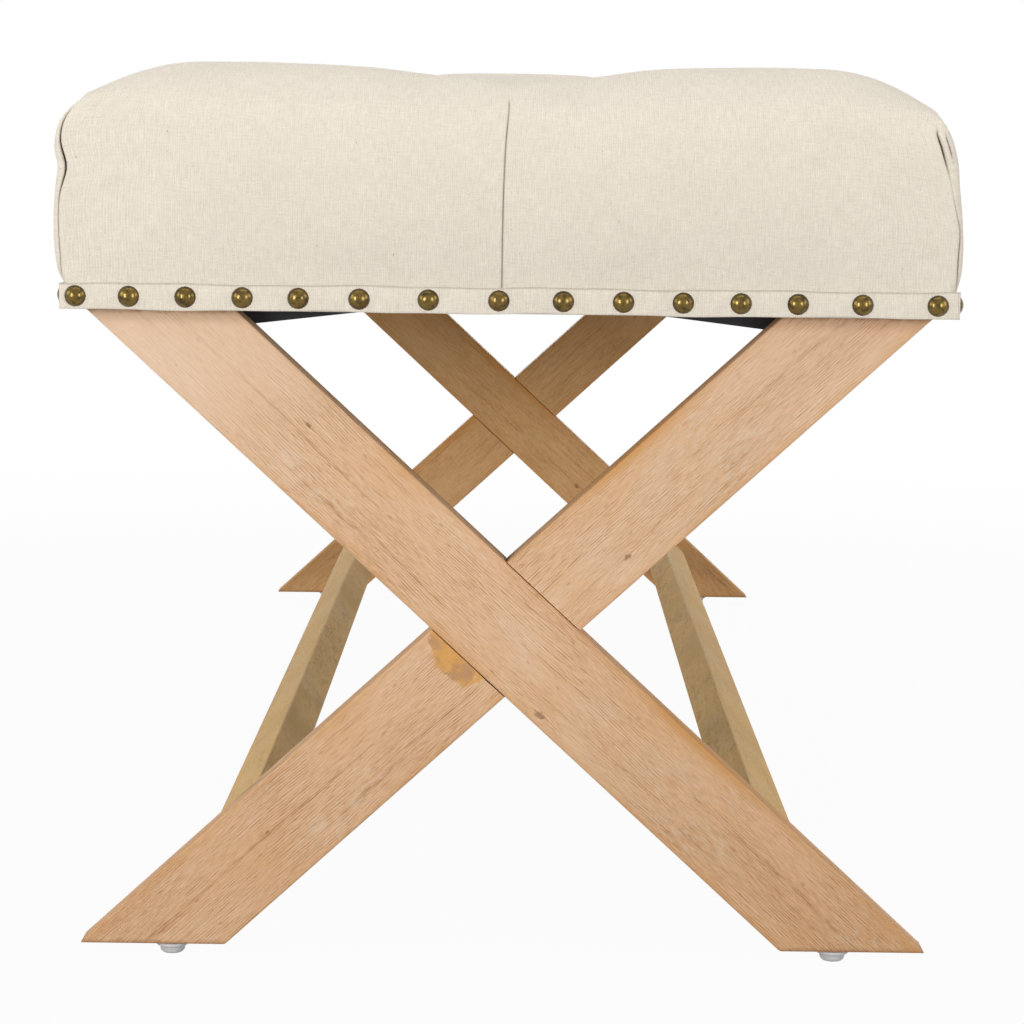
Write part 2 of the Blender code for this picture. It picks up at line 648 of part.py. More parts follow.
def make_leg(name, side, group):
    """A leg with its foot on the right (side 1) or the left (side -1), notched for the crossing leg."""
    outline = [(side * x, z) for x, z in leg_outline()]
    half = LEG_THICKNESS / 2
    leg = add_piece(name, prism(outline, -half, half, "Y"), "leg_wood")
    ease_edges(leg, LEG_ARRIS)
    combine(leg, lap_notch(side), "DIFFERENCE")
    bolts = [along_y(-side * x, 0.0, z) for x, z in bolt_places()]
    combine(leg, rods(BOLT_RADIUS + FIT_GAP, half - BOLT_BITE - FIT_GAP, LEG_THICKNESS, bolts), "DIFFERENCE")
    dowels = [along_y(side * x, 0.0, z) for x, z in dowel_places()]
    combine(leg, rods(DOWEL_RADIUS + FIT_GAP, half - DOWEL_LEG_DEPTH - FIT_GAP, LEG_THICKNESS, dowels),
            "DIFFERENCE")
    glide_x = side * (LEG_FOOT_SPREAD / 2 - GLIDE_FROM_TIP)
    nail_top = FOOT_Z + GLIDE_NAIL_LENGTH + FIT_GAP
    combine(leg, rods(GLIDE_NAIL_RADIUS + FIT_GAP, 0.0, nail_top, [Matrix.Translation((glide_x, 0.0, 0.0))]),
            "DIFFERENCE")
    leg.parent = group


def make_glide(name, side, group):
    """A nail-on glide under a foot, with a flat wearing face."""
    profile = [(0.0, FOOT_Z + GLIDE_NAIL_LENGTH), (GLIDE_NAIL_RADIUS, FOOT_Z + GLIDE_NAIL_LENGTH),
               (GLIDE_NAIL_RADIUS, GLIDE_HEIGHT), (GLIDE_RADIUS, GLIDE_HEIGHT),
               (GLIDE_WAIST[0] * GLIDE_RADIUS, GLIDE_WAIST[1] * GLIDE_HEIGHT),
               ((GLIDE_RADIUS + GLIDE_FLAT_RADIUS) / 2, GLIDE_TOE_HEIGHT * GLIDE_HEIGHT),
               (GLIDE_FLAT_RADIUS, 0.0), (0.0, 0.0)]
    glide = add_piece(name, turned(profile, GLIDE_SIDES), "glide_plastic")
    glide.location = (side * (LEG_FOOT_SPREAD / 2 - GLIDE_FROM_TIP), 0.0, 0.0)
    glide.parent = group
    smooth(glide)


def make_x_frame(end, place_y, turn):
    """One X frame with what hangs on it. The frame's own +Y looks inwards."""
    group = add_group(f"x_frame_{end}", (0.0, place_y, 0.0), turn)
    for letter, side in (("a", 1), ("b", -1)):
        make_leg(f"leg_{end}_{letter}", side, group)
        make_glide(f"glide_{end}_{letter}", side, group)
    make_mount_rail(f"mount_rail_{end}", group)
    make_bolts(end, group)


def make_stretcher(name, side):
    """A stretcher between the X frames, in line with the boards, with bores for its dowels."""
    length = 2 * (LEG_INNER_Y - FIT_GAP)
    stretcher = add_piece(name, box((STRETCHER_WIDTH, length, STRETCHER_THICKNESS)), "stretcher_wood")
    ease_edges(stretcher, STRETCHER_ARRIS)
    start = length / 2 - DOWEL_STRETCHER_DEPTH - FIT_GAP
    for end in (-1, 1):
        holes = [along_y(step * DOWEL_SPACING / 2, 0.0, 0.0) for step in (-1, 1)]
        low, high = sorted((end * start, end * length))
        combine(stretcher, rods(DOWEL_RADIUS + FIT_GAP, low, high, holes), "DIFFERENCE")
    x, z = stretcher_centre()
    stretcher.location = (side * x, 0.0, z)
    stretcher.rotation_euler = (0.0, side * LEG_ANGLE, 0.0)


def make_dowels():
    """Wooden dowels, two at each end of each stretcher."""
    length = DOWEL_LEG_DEPTH + DOWEL_STRETCHER_DEPTH
    middle_y = LEG_INNER_Y + (DOWEL_LEG_DEPTH - DOWEL_STRETCHER_DEPTH) / 2
    for end_name, end in (("front", -1), ("back", 1)):
        for side_name, side in (("left", -1), ("right", 1)):
            for number, (x, z) in enumerate(dowel_places(), start=1):
                shape = rods(DOWEL_RADIUS, -length / 2, length / 2, [Matrix.Identity(4)])
                dowel = add_piece(f"dowel_{end_name}_{side_name}_{number}", shape, "dowel_wood")
                dowel.matrix_world = along_y(side * x, end * middle_y, z)
                smooth(dowel)


def main():
    """Build the whole bench."""
    clear_scene()
    make_cover()
    make_foam()
    make_buttons()
    make_trims()
    make_rails()
    make_deck()
    make_dust_cover()
    make_x_frame("front", -LEG_MID_Y, 0.0)
    make_x_frame("back", LEG_MID_Y, math.pi)
    make_stretcher("stretcher_left", -1)
    make_stretcher("stretcher_right", 1)
    make_dowels()


main()
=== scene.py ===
"""Looks of an upholstered bench: tufted linen seat, nailed trim band and crossed wooden legs.

Lengths are in metres, +Z is up, X runs across the bench and Y along it, with the front end at -Y.
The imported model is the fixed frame. The soft pieces and the small turned ones are made again here,
finer than their solids, and the wooden pieces keep their solids and get their materials.
"""
import math

import bpy
import numpy as np
from mathutils import Matrix, Vector


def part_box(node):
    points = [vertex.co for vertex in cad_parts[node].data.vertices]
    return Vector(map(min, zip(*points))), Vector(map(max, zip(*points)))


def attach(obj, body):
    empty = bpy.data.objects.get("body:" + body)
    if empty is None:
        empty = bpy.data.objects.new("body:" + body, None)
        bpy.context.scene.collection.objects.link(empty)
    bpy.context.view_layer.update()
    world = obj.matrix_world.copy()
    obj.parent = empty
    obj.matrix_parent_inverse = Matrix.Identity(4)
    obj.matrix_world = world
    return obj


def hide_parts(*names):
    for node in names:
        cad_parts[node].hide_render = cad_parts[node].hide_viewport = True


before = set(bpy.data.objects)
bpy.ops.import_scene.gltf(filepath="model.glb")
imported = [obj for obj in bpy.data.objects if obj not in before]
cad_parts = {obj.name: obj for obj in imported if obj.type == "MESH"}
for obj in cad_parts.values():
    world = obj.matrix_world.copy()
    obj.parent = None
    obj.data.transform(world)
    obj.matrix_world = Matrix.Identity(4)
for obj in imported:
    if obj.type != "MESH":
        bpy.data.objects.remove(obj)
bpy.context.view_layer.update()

BODY = "root"
MM = 0.001

# Seat cover
FIT_GAP = 0.3 * MM
COVER_HALF = np.array((0.2290, 0.5835))       # half width and half length behind the trim band
FRAME_HALF = np.array((0.2273, 0.5818))       # of the seat frame inside it
FRAME_CORNER_CUT = 15 * MM
HEM_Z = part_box("seat_cover")[0].z
CROWN_Z = HEM_Z + 127 * MM
DECK_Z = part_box("seat_deck")[1].z
EDGE_INSET = 10 * MM                          # from the side in to where the top ends
EDGE_HALF = COVER_HALF - EDGE_INSET
EDGE_TURN = 22 * MM                           # height over which the top turns down into the side
SHOULDER_RUN = 64 * MM
SHOULDER_DROP = 24 * MM
CORNER_SOFTENING = 0.15
GRID_STEP = 3.3 * MM
SIDE_LEVELS = 33

# Tufts and pleats
TUFT_COLUMNS = 9
TUFT_PITCH = 125 * MM
TUFT_ROW_OFFSET = 115 * MM
TUFT_DEPTH = 21 * MM
TUFT_REACH = 45 * MM
PLEAT_DEPTH = 6 * MM
PLEAT_REACH = 15 * MM
PLEAT_START = 40 * MM
PLEAT_EDGE_FADE = 55 * MM                     # a pleat grows shallow over this way to the side
END_FADE = 90 * MM                            # and pits and pleats over this way to an end
VALLEY_DEPTH = 3.0 * MM                       # sharper line along the bottom of each pleat
VALLEY_REACH = 4.5 * MM
VALLEY_FADE = 150 * MM
# Soft dents in the shoulder of an end: each one's place across it and its depth, their place along the
# bench, and their reach across and along
END_DENTS = ((0.041, 3.4 * MM), (-0.042, 1.7 * MM))
DENT_Y = 0.542
DENT_REACH = (24 * MM, 40 * MM)
GATHERS = 9                                   # small folds drawn in round each button
GATHER_DEPTH = 1.3 * MM
GATHER_REACH = 20 * MM
GATHER_START = 9 * MM
GATHER_TURN = 2.4                             # radians from one button's folds to the next one's

# Trim band and its nails
BAND_HEIGHT = 13.5 * MM
BAND_THICKNESS = 1.2 * MM
BAND_TOP_Z = HEM_Z + BAND_HEIGHT
BAND_STEP = 2.6 * MM
NAIL_RADIUS = 5.5 * MM
NAIL_DOME = 3.2 * MM
NAIL_SINK = 0.4 * MM
NAIL_RIM = (0.97, 0.6)                        # below the dome: share of the radius and of the sink
NAIL_WORN = (0.10, 0.45)                      # shares of the profile, from its foot, over which wear grows
NAIL_RINGS = 7
NAIL_PITCH = 31.5 * MM
NAIL_END_MARGINS = (8.2 * MM, 11.3 * MM)
# Slow drift of the hand-set spacing, in pitches
NAIL_WANDER = (-0.269, -0.081, -0.121, 0.089, -0.008, 0.009, -0.034)
NAIL_SIDES = 20

# Turned pieces
BUTTON_RADIUS = 11 * MM
BUTTON_RISE = 6.5 * MM
# A covered button's dome and the points of its rolled rim, in shares of its radius and rise
BUTTON_DOME = (0.93, 0.62)
BUTTON_ROLL = ((0.985, 0.27), (1.00, 0.12), (0.95, 0.00), (0.00, 0.00))
BUTTON_RINGS = 9
BUTTON_SIDES = 32
# Painted shade on the button's cloth under its rim
BUTTON_SHADE = 0.35                           # of the cloth under the rim
BUTTON_SHADE_TOP = 0.22                       # share of the profile, from its foot, where it ends
GLIDE_RADIUS = 9 * MM
GLIDE_HEIGHT = 6 * MM
# A glide's profile from its flange to its wearing face, in shares of its radius and height
GLIDE_PROFILE = ((0.0, 1.0), (0.93, 1.00), (1.00, 0.94), (1.00, 0.78), (0.96, 0.70), (0.80, 0.64),
                 (0.765, 0.56), (0.75, 0.30), (0.70, 0.12), (0.62, 0.00), (0.0, 0.0))
GLIDE_SIDES = 40

# Legs and stretchers
LEG_ANGLE = math.radians(42.75)
LEG_HALF_WIDTH = 26.5 * MM
LAP_Z = 0.180
STRETCHER_CENTRE = (0.1446, 0.0543)
STRETCHER_HALF_WIDTH = 16 * MM

# Photograph's camera
LENS_MM = 89.91
SENSOR_MM = 36.0
CAMERA_PLACE = (0.0071, -1.8951, 0.4301)
CAMERA_PITCH = math.radians(7.994)
CAMERA_ROLL = math.radians(0.68)
CAMERA_YAW = math.radians(-0.196)


# Mesh helpers

def smooth_step(low, high, value):
    """0 up to low, 1 from high, and an S-curve between them."""
    share = np.clip((value - low) / (high - low), 0.0, 1.0)
    return share * share * (3.0 - 2.0 * share)


def curve_through(knots, values, at):
    """A smooth curve through given points: a cubic between each two, with the slope of the chord
    through the neighbours at each knot, and level beyond the ends."""
    knots, values = np.asarray(knots, float), np.asarray(values, float)
    slopes = np.gradient(values, knots)
    at = np.clip(at, knots[0], knots[-1])
    left = np.clip(np.searchsorted(knots, at, side="right") - 1, 0, len(knots) - 2)
    span = knots[left + 1] - knots[left]
    t = (at - knots[left]) / span
    stay = (1 + 2 * t) * (1 - t) ** 2 * values[left] + t * t * (3 - 2 * t) * values[left + 1]
    turn = t * (1 - t) ** 2 * slopes[left] - t * t * (1 - t) * slopes[left + 1]
    return stay + span * turn


def quads(grid):
    """The four corners of every cell of a grid, in turn, for a grid of point numbers or of places."""
    corners = (grid[:-1, :-1], grid[1:, :-1], grid[1:, 1:], grid[:-1, 1:])
    return np.stack(corners, axis=2).reshape(-1, 4, *grid.shape[2:])


def add_mesh(name, points, faces, material, face_uv=None, values=None):
    """A piece at the origin from arrays of points and faces, with a UV map and point values."""
    mesh = bpy.data.meshes.new(name)
    mesh.from_pydata(np.asarray(points).tolist(), [], [list(map(int, face)) for face in faces])
    if face_uv is not None:
        layer = mesh.uv_layers.new(name="cloth")
        layer.data.foreach_set("uv", np.asarray(face_uv, np.float32).ravel())
    for label, numbers in (values or {}).items():
        attribute = mesh.attributes.new(label, "FLOAT", "POINT")
        attribute.data.foreach_set("value", np.asarray(numbers, np.float32).ravel())
    mesh.polygons.foreach_set("use_smooth", np.full(len(mesh.polygons), True))
    mesh.materials.append(material)
    mesh.validate()
    piece = bpy.data.objects.new(name, mesh)
    bpy.context.scene.collection.objects.link(piece)
    return piece


def seat(piece, slot, *nodes):
    """Puts a finished piece on the bench in place of its solids."""
    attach(piece, BODY)
    if nodes:
        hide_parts(*nodes)


# Shader helpers

def connect(tree, value, socket):
    """Links a socket to an input, or sets the input to a plain value."""
    if isinstance(value, bpy.types.NodeSocket):
        tree.links.new(value, socket)
    else:
        socket.default_value = value


def maths(tree, operation, *values, clamp=False):
    """One step of arithmetic on values over the surface."""
    made = tree.nodes.new("ShaderNodeMath")
    made.operation = operation
    made.use_clamp = clamp
    for value, socket in zip(values, made.inputs):
        connect(tree, value, socket)
    return made.outputs[0]


def times(tree, first, second):
    """The product of two values."""
    return maths(tree, "MULTIPLY", first, second)


def minus(tree, first, second):
    """The first value less the second."""
    return maths(tree, "SUBTRACT", first, second)


def scaled(tree, value, factor, plus, clamp=False):
    """A value times a factor, plus another value."""
    return maths(tree, "MULTIPLY_ADD", value, factor, plus, clamp=clamp)


def swing(tree, value, factor, plus, clamp=False):
    """A value's swing about a half, times a factor, plus another value."""
    return scaled(tree, minus(tree, value, 0.5), factor, plus, clamp)


def apart(tree, first, second, centre, reach):
    """Distance of a place with two coordinates from a centre, each measured in its own reach."""
    run, rise = (times(tree, minus(tree, place, middle), 1.0 / unit)
                 for place, middle, unit in zip((first, second), centre, reach))
    return maths(tree, "SQRT", scaled(tree, run, run, times(tree, rise, rise)))


def ramp(tree, low, high, value):
    """0 below low and 1 above high, with a soft step between. It falls where low is the larger."""
    made = tree.nodes.new("ShaderNodeMapRange")
    made.interpolation_type = "SMOOTHSTEP"
    connect(tree, value, made.inputs["Value"])
    connect(tree, low, made.inputs["From Min"])
    connect(tree, high, made.inputs["From Max"])
    return made.outputs[0]


def stretched(tree, vector, factors):
    """Coordinates multiplied axis by axis."""
    made = tree.nodes.new("ShaderNodeVectorMath")
    made.operation = "MULTIPLY"
    connect(tree, vector, made.inputs[0])
    made.inputs[1].default_value = factors
    return made.outputs[0]


def noise(tree, vector, scale, detail=2.0, roughness=0.5):
    """Cloudy noise from 0 to 1."""
    made = tree.nodes.new("ShaderNodeTexNoise")
    connect(tree, vector, made.inputs["Vector"])
    made.inputs["Scale"].default_value = scale
    made.inputs["Detail"].default_value = detail
    made.inputs["Roughness"].default_value = roughness
    return made.outputs[0]


def streaky(tree, vector, counts, detail=2.0, roughness=0.5):
    """Cloudy noise with its own count of clouds per metre along each axis."""
    return noise(tree, stretched(tree, vector, counts), 1.0, detail, roughness)


def mixed(tree, factor, first, second, blend="MIX"):
    """Two colours mixed by a factor."""
    made = tree.nodes.new("ShaderNodeMix")
    made.data_type = "RGBA"
    made.blend_type = blend
    connect(tree, factor, made.inputs[0])
    connect(tree, first, made.inputs[6])
    connect(tree, second, made.inputs[7])
    return made.outputs[2]


def split(tree, vector):
    """The three parts of a vector."""
    made = tree.nodes.new("ShaderNodeSeparateXYZ")
    connect(tree, vector, made.inputs[0])
    return made.outputs


def join(tree, x, y, z):
    """A vector from three parts."""
    made = tree.nodes.new("ShaderNodeCombineXYZ")
    for value, socket in zip((x, y, z), made.inputs):
        connect(tree, value, socket)
    return made.outputs[0]


def new_group(name, inputs, outputs):
    """An empty shader group with named sockets, and its inner ends."""
    tree = bpy.data.node_groups.new(name, "ShaderNodeTree")
    for label, kind, value in inputs:
        socket = tree.interface.new_socket(label, in_out="INPUT", socket_type=kind)
        socket.default_value = value
    for label, kind in outputs:
        tree.interface.new_socket(label, in_out="OUTPUT", socket_type=kind)
    given = tree.nodes.new("NodeGroupInput").outputs
    result = tree.nodes.new("NodeGroupOutput").inputs
    return tree, given, result


def use_group(tree, group, values):
    """Places a group in a material with its own values, and gives its outputs."""
    made = tree.nodes.new("ShaderNodeGroup")
    made.node_tree = group
    for label, value in values.items():
        connect(tree, value, made.inputs[label])
    return made.outputs


def new_material(name, **settings):
    """A material with a Principled shader, and plain values on the shader's own sockets."""
    material = bpy.data.materials.new(name)
    material.use_nodes = True
    tree = material.node_tree
    shader = tree.nodes["Principled BSDF"]
    for label, value in settings.items():
        shader.inputs[label.replace("_", " ")].default_value = value
    return material, tree, shader


def add_bump(tree, shader, height, distance, strength=1.0):
    """Lets a height over the surface tilt the shader's normal."""
    bump = tree.nodes.new("ShaderNodeBump")
    bump.inputs["Distance"].default_value = distance
    bump.inputs["Strength"].default_value = strength
    connect(tree, height, bump.inputs["Height"])
    connect(tree, bump.outputs[0], shader.inputs["Normal"])


def object_coordinates(tree):
    """The piece's own coordinates, in metres."""
    return tree.nodes.new("ShaderNodeTexCoord").outputs["Object"]


def cloth_coordinates(tree):
    """Metres along the cloth itself, from the piece's UV map."""
    made = tree.nodes.new("ShaderNodeUVMap")
    made.uv_map = "cloth"
    return made.outputs[0]


def point_value(tree, label):
    """A value stored on the piece's points."""
    made = tree.nodes.new("ShaderNodeAttribute")
    made.attribute_name = label
    return made.outputs["Fac"]


# Shader groups

# Linen: ribs of the weave, the levels between which the weft comes to show, thread unevenness as clouds per
# metre across and along the cloth, how much each cause shows in the tone, and how high it stands
LINEN_RIBS = 900.0
WEFT_PATCHES = (0.50, 0.70)
WARP_SLUBS = (1100.0, 120.0, 1.0)
WEFT_SLUBS = (130.0, 1000.0, 1.0)
SLUB_SHOW, CLOUD_SHOW, WEAVE_SHOW, NAP_SHOW = 1.7, 0.34, 0.21, 1.05
SLUB_RISE, WEAVE_RISE = 1.6, 0.5
WARP_RIB, WEFT_RIB = 0.5, 0.4                 # heights of the ribs
WARP_SLUB, WEFT_SLUB = 0.58, 0.42             # shares of the two in the unevenness
STRAW_CORE = 0.4                              # share of a fleck's radius that is in full colour
STRAW_RARITY = 0.1                            # cells over which flecks come to show
# Flecks of straw, many faint ones and a few dark ones: cells per metre across and along the cloth, the
# share of cells without a fleck, the flecks' size and how much they show
STRAW_FLECKS = (((230.0, 120.0, 1.0), 0.55, 0.085, 0.34), ((52.0, 27.0, 1.0), 0.70, 0.030, 0.60))


def weave_ribs(tree, cloth, ribs):
    """Warp and weft ribs: a sine across the cloth and one along it, the second showing only in patches."""
    count = tree.nodes.new("ShaderNodeVectorMath")
    count.operation = "SCALE"
    connect(tree, cloth, count.inputs[0])
    connect(tree, ribs, count.inputs["Scale"])
    across, along, _ = split(tree, count.outputs[0])
    warp, weft = (maths(tree, "SINE", times(tree, run, 2.0 * math.pi)) for run in (across, along))
    weft = times(tree, weft, ramp(tree, *WEFT_PATCHES, noise(tree, cloth, scale=150.0)))
    return scaled(tree, warp, WARP_RIB, times(tree, weft, WEFT_RIB))


def add_straw(tree, cloth, colour, straw_colour):
    """Flecks of straw over a colour, each in a cell of its own and larger in a rarer cell."""
    for cells, bare, size, strength in STRAW_FLECKS:
        straw = tree.nodes.new("ShaderNodeTexVoronoi")
        straw.voronoi_dimensions = "2D"
        connect(tree, stretched(tree, cloth, cells), straw.inputs["Vector"])
        straw.inputs["Scale"].default_value = 1.0
        rare = split(tree, straw.outputs["Color"])[0]
        edge = times(tree, ramp(tree, bare, 1.0, rare), size)
        fleck = ramp(tree, edge, times(tree, edge, STRAW_CORE), straw.outputs["Distance"])
        fleck = times(tree, fleck, ramp(tree, bare, bare + STRAW_RARITY, rare))
        colour = mixed(tree, times(tree, fleck, strength), colour, straw_colour)
    return colour


def linen_group():
    """Plain weave: warp and weft ribs, each thread thicker and paler in places, with flecks of straw."""
    tree, given, result = new_group(
        "linen weave",
        [("Cloth", "NodeSocketVector", (0.0, 0.0, 0.0)),
         ("Ribs per metre", "NodeSocketFloat", LINEN_RIBS),
         ("Pale", "NodeSocketColor", (0.905, 0.832, 0.712, 1.0)),
         ("Deep", "NodeSocketColor", (0.665, 0.600, 0.497, 1.0)),
         ("Fleck", "NodeSocketColor", (0.36, 0.28, 0.19, 1.0))],
        [("Colour", "NodeSocketColor"), ("Height", "NodeSocketFloat")])
    cloth = given["Cloth"]
    weave = weave_ribs(tree, cloth, given["Ribs per metre"])
    warp_slub = streaky(tree, cloth, WARP_SLUBS, roughness=0.6)
    weft_slub = streaky(tree, cloth, WEFT_SLUBS, roughness=0.6)
    slub = scaled(tree, warp_slub, WARP_SLUB, times(tree, weft_slub, WEFT_SLUB))
    tone = swing(tree, slub, SLUB_SHOW, 0.5)
    tone = swing(tree, noise(tree, cloth, scale=30.0, detail=4.0, roughness=0.6), CLOUD_SHOW, tone)
    tone = scaled(tree, weave, WEAVE_SHOW, tone)
    nap = noise(tree, cloth, scale=1250.0, roughness=0.6)
    tone = swing(tree, nap, NAP_SHOW, tone, clamp=True)
    colour = mixed(tree, tone, given["Deep"], given["Pale"])
    connect(tree, add_straw(tree, cloth, colour, given["Fleck"]), result["Colour"])
    connect(tree, scaled(tree, slub, SLUB_RISE, times(tree, weave, WEAVE_RISE)), result["Height"])
    return tree


# Wood patterns: clouds per metre along, through and across a board, their detail and roughness, and for a
# mask the two levels between which it comes to show
WOOD_PATTERNS = {
    "wander": ((5.0, 12.0, 16.0), 2.0, 0.5, None),
    "broken": ((42.0, 80.0, 240.0), 2.0, 0.5, None),
    "pressed": ((17.0, 30.0, 46.0), 2.0, 0.5, (0.36, 0.60)),
    "skipped": ((70.0, 300.0, 620.0), 2.0, 0.5, (0.30, 0.56)),
    "fibre": ((120.0, 700.0, 1900.0), 3.0, 0.75, None),
    "patch": ((11.0, 24.0, 30.0), 4.0, 0.6, None),
    "ochre": ((9.0, 18.0, 22.0), 3.0, 0.5, (0.50, 0.72)),
    "greyed": ((14.0, 22.0, 19.0), 3.0, 0.5, (0.50, 0.70)),
    "limed": ((15.0, 40.0, 38.0), 3.0, 0.5, (0.50, 0.68)),
    "speck": ((190.0, 500.0, 620.0), 3.0, 0.65, (0.50, 0.66))}
GRAIN_BEND = 0.012                            # metres across a board by which the grain wanders
BRUSH_BREAK = 1.9                             # lines by which a broken brush line shifts
BRUSH_SCORE = (0.10, 0.98)                    # levels of the sine between which a line is scored
BRUSH_LEVEL = 0.30                            # of the wood between two scored lines
STREAK_STRETCH = (7.0, 40.0)                  # streaks per metre along and through a board
STREAK_LEVELS = (0.58, 0.76)
PORE_CELLS = (95.0, 170.0, 260.0)
PORE_EDGE = (0.20, 0.06)
PORE_RARITY = (0.60, 0.95)
# How much each cause shows in the tone or over the colour
BRUSH_SHOW, FIBRE_SHOW, PATCH_SHOW, STREAK_SHOW = 0.42, 1.65, 0.72, -0.26
OCHRE_SHOW, GREY_SHOW, PORE_SHOW = 0.30, 0.17, 0.5
ARRIS_START = 0.74                            # share of the half width where the arris colour starts
ARRIS_SHOW = (0.70, 0.28)                     # what an ochre patch adds to the arris, and its least
BRUSH_RISE = 0.25                             # height of the brush lines beside the fibres
FIBRE_ROUGHNESS = (-0.18, 0.74)               # what a fibre adds to the roughness, and its most


def wood_pattern(tree, board, label):
    """One of the wood's patterns over a board."""
    counts, detail, roughness, levels = WOOD_PATTERNS[label]
    found = streaky(tree, board, counts, detail, roughness)
    return found if levels is None else ramp(tree, *levels, found)


def brush_lines(tree, board, bent, lines_per_metre):
    """Fine combed lines along a board: a sine across it, broken along it, where the brush pressed and
    didn't skip."""
    lines = times(tree, bent, lines_per_metre)
    phase = scaled(tree, wood_pattern(tree, board, "broken"), BRUSH_BREAK, lines)
    brush = maths(tree, "SINE", times(tree, phase, 2.0 * math.pi))
    scored = minus(tree, BRUSH_LEVEL, ramp(tree, *BRUSH_SCORE, brush))
    touched = times(tree, wood_pattern(tree, board, "pressed"), wood_pattern(tree, board, "skipped"))
    return times(tree, scored, touched)


def growth_streaks(tree, board, bent, streaks_per_metre):
    """Thin streaks that wander along a board."""
    along, deep, _ = split(tree, board)
    run, depth = (times(tree, way, count) for way, count in zip((along, deep), STREAK_STRETCH))
    place = join(tree, run, depth, times(tree, bent, streaks_per_metre))
    return ramp(tree, *STREAK_LEVELS, noise(tree, place, scale=1.0, roughness=0.6))


def pore_mask(tree, board):
    """Short pores along a board, in the rarer cells only."""
    pores = tree.nodes.new("ShaderNodeTexVoronoi")
    connect(tree, stretched(tree, board, PORE_CELLS), pores.inputs["Vector"])
    pores.inputs["Scale"].default_value = 1.0
    rare = split(tree, pores.outputs["Color"])[0]
    return times(tree, ramp(tree, *PORE_EDGE, pores.outputs["Distance"]), ramp(tree, *PORE_RARITY, rare))


def toned(tree, given, tone):
    """Colour for a tone: the dark one at 0, the body's at a half and the pale one at 1."""
    above = scaled(tree, tone, 2.0, -1.0, clamp=True)
    below = scaled(tree, tone, -2.0, 1.0, clamp=True)
    return mixed(tree, below, mixed(tree, above, given["Body"], given["Pale"]), given["Dark"])


def aged(tree, given, colour, pore):
    """A colour with ochre and grey patches, specks of filler, dark pores and ochre arrises laid over it."""
    board, half = given["Board"], given["Half width"]
    ochre = wood_pattern(tree, board, "ochre")
    colour = mixed(tree, times(tree, ochre, OCHRE_SHOW), colour, given["Arris"])
    greyed = wood_pattern(tree, board, "greyed")
    colour = mixed(tree, times(tree, greyed, GREY_SHOW), colour, given["Filler"])
    specks = times(tree, wood_pattern(tree, board, "limed"), wood_pattern(tree, board, "speck"))
    colour = mixed(tree, times(tree, specks, given["Lime"]), colour, given["Filler"])
    colour = mixed(tree, times(tree, pore, PORE_SHOW), colour, given["Dark"])
    from_middle = maths(tree, "ABSOLUTE", split(tree, board)[2])
    edge = ramp(tree, times(tree, half, ARRIS_START), half, from_middle)
    edge = times(tree, edge, scaled(tree, ochre, *ARRIS_SHOW))
    return mixed(tree, edge, colour, given["Arris"])


def grain_group():
    """Brushed wood. The board runs along X, its width along Z and its thickness along Y. Brushing leaves
    fine combed lines along it, short fibres lie between them, thin reddish growth streaks wander through,
    grey filler is left in specks, and the tone drifts in patches, turns grey in some and ochre in others
    and along the arrises."""
    tree, given, result = new_group(
        "brushed grain",
        [("Board", "NodeSocketVector", (0.0, 0.0, 0.0)),
         ("Half width", "NodeSocketFloat", 0.0265),
         ("Brush lines per metre", "NodeSocketFloat", 760.0),
         ("Streaks per metre", "NodeSocketFloat", 300.0),
         ("Pale", "NodeSocketColor", (0.830, 0.600, 0.425, 1.0)),
         ("Body", "NodeSocketColor", (0.720, 0.452, 0.264, 1.0)),
         ("Dark", "NodeSocketColor", (0.410, 0.205, 0.092, 1.0)),
         ("Arris", "NodeSocketColor", (0.640, 0.325, 0.110, 1.0)),
         ("Filler", "NodeSocketColor", (0.700, 0.580, 0.450, 1.0)),
         ("Lime", "NodeSocketFloat", 0.5)],
        [("Colour", "NodeSocketColor"), ("Height", "NodeSocketFloat"), ("Roughness", "NodeSocketFloat")])
    board = given["Board"]
    bent = scaled(tree, wood_pattern(tree, board, "wander"), GRAIN_BEND, split(tree, board)[2])
    combed = brush_lines(tree, board, bent, given["Brush lines per metre"])
    fibre = wood_pattern(tree, board, "fibre")
    pore = pore_mask(tree, board)
    tone = scaled(tree, combed, BRUSH_SHOW, 0.5)
    tone = swing(tree, fibre, FIBRE_SHOW, tone)
    tone = swing(tree, wood_pattern(tree, board, "patch"), PATCH_SHOW, tone)
    tone = scaled(tree, growth_streaks(tree, board, bent, given["Streaks per metre"]), STREAK_SHOW, tone)
    connect(tree, aged(tree, given, toned(tree, given, tone), pore), result["Colour"])
    connect(tree, minus(tree, scaled(tree, combed, BRUSH_RISE, fibre), pore), result["Height"])
    connect(tree, scaled(tree, fibre, *FIBRE_ROUGHNESS), result["Roughness"])
    return tree


LINEN = linen_group()
GRAIN = grain_group()


# Materials

# Painted shade: the colour that the linen darkens to by its fold value, in corner folds, pleats and
# puckers, under the button rims and along the band's upper edge
PAINTED_SHADE_COLOUR = (0.085, 0.050, 0.010, 1.0)


def linen_material(name):
    """Linen with its weave along the cloth, and painted shade: darker where a point value says that it is
    folded in.
    """
    material, tree, shader = new_material(name, Roughness=0.92, Specular_IOR_Level=0.15, Sheen_Weight=0.12)
    cloth = use_group(tree, LINEN, {"Cloth": cloth_coordinates(tree), "Ribs per metre": LINEN_RIBS})
    colour = mixed(tree, point_value(tree, "fold"), cloth["Colour"], PAINTED_SHADE_COLOUR)
    connect(tree, colour, shader.inputs["Base Color"])
    add_bump(tree, shader, cloth["Height"], distance=0.16 * MM, strength=0.7)
    return material


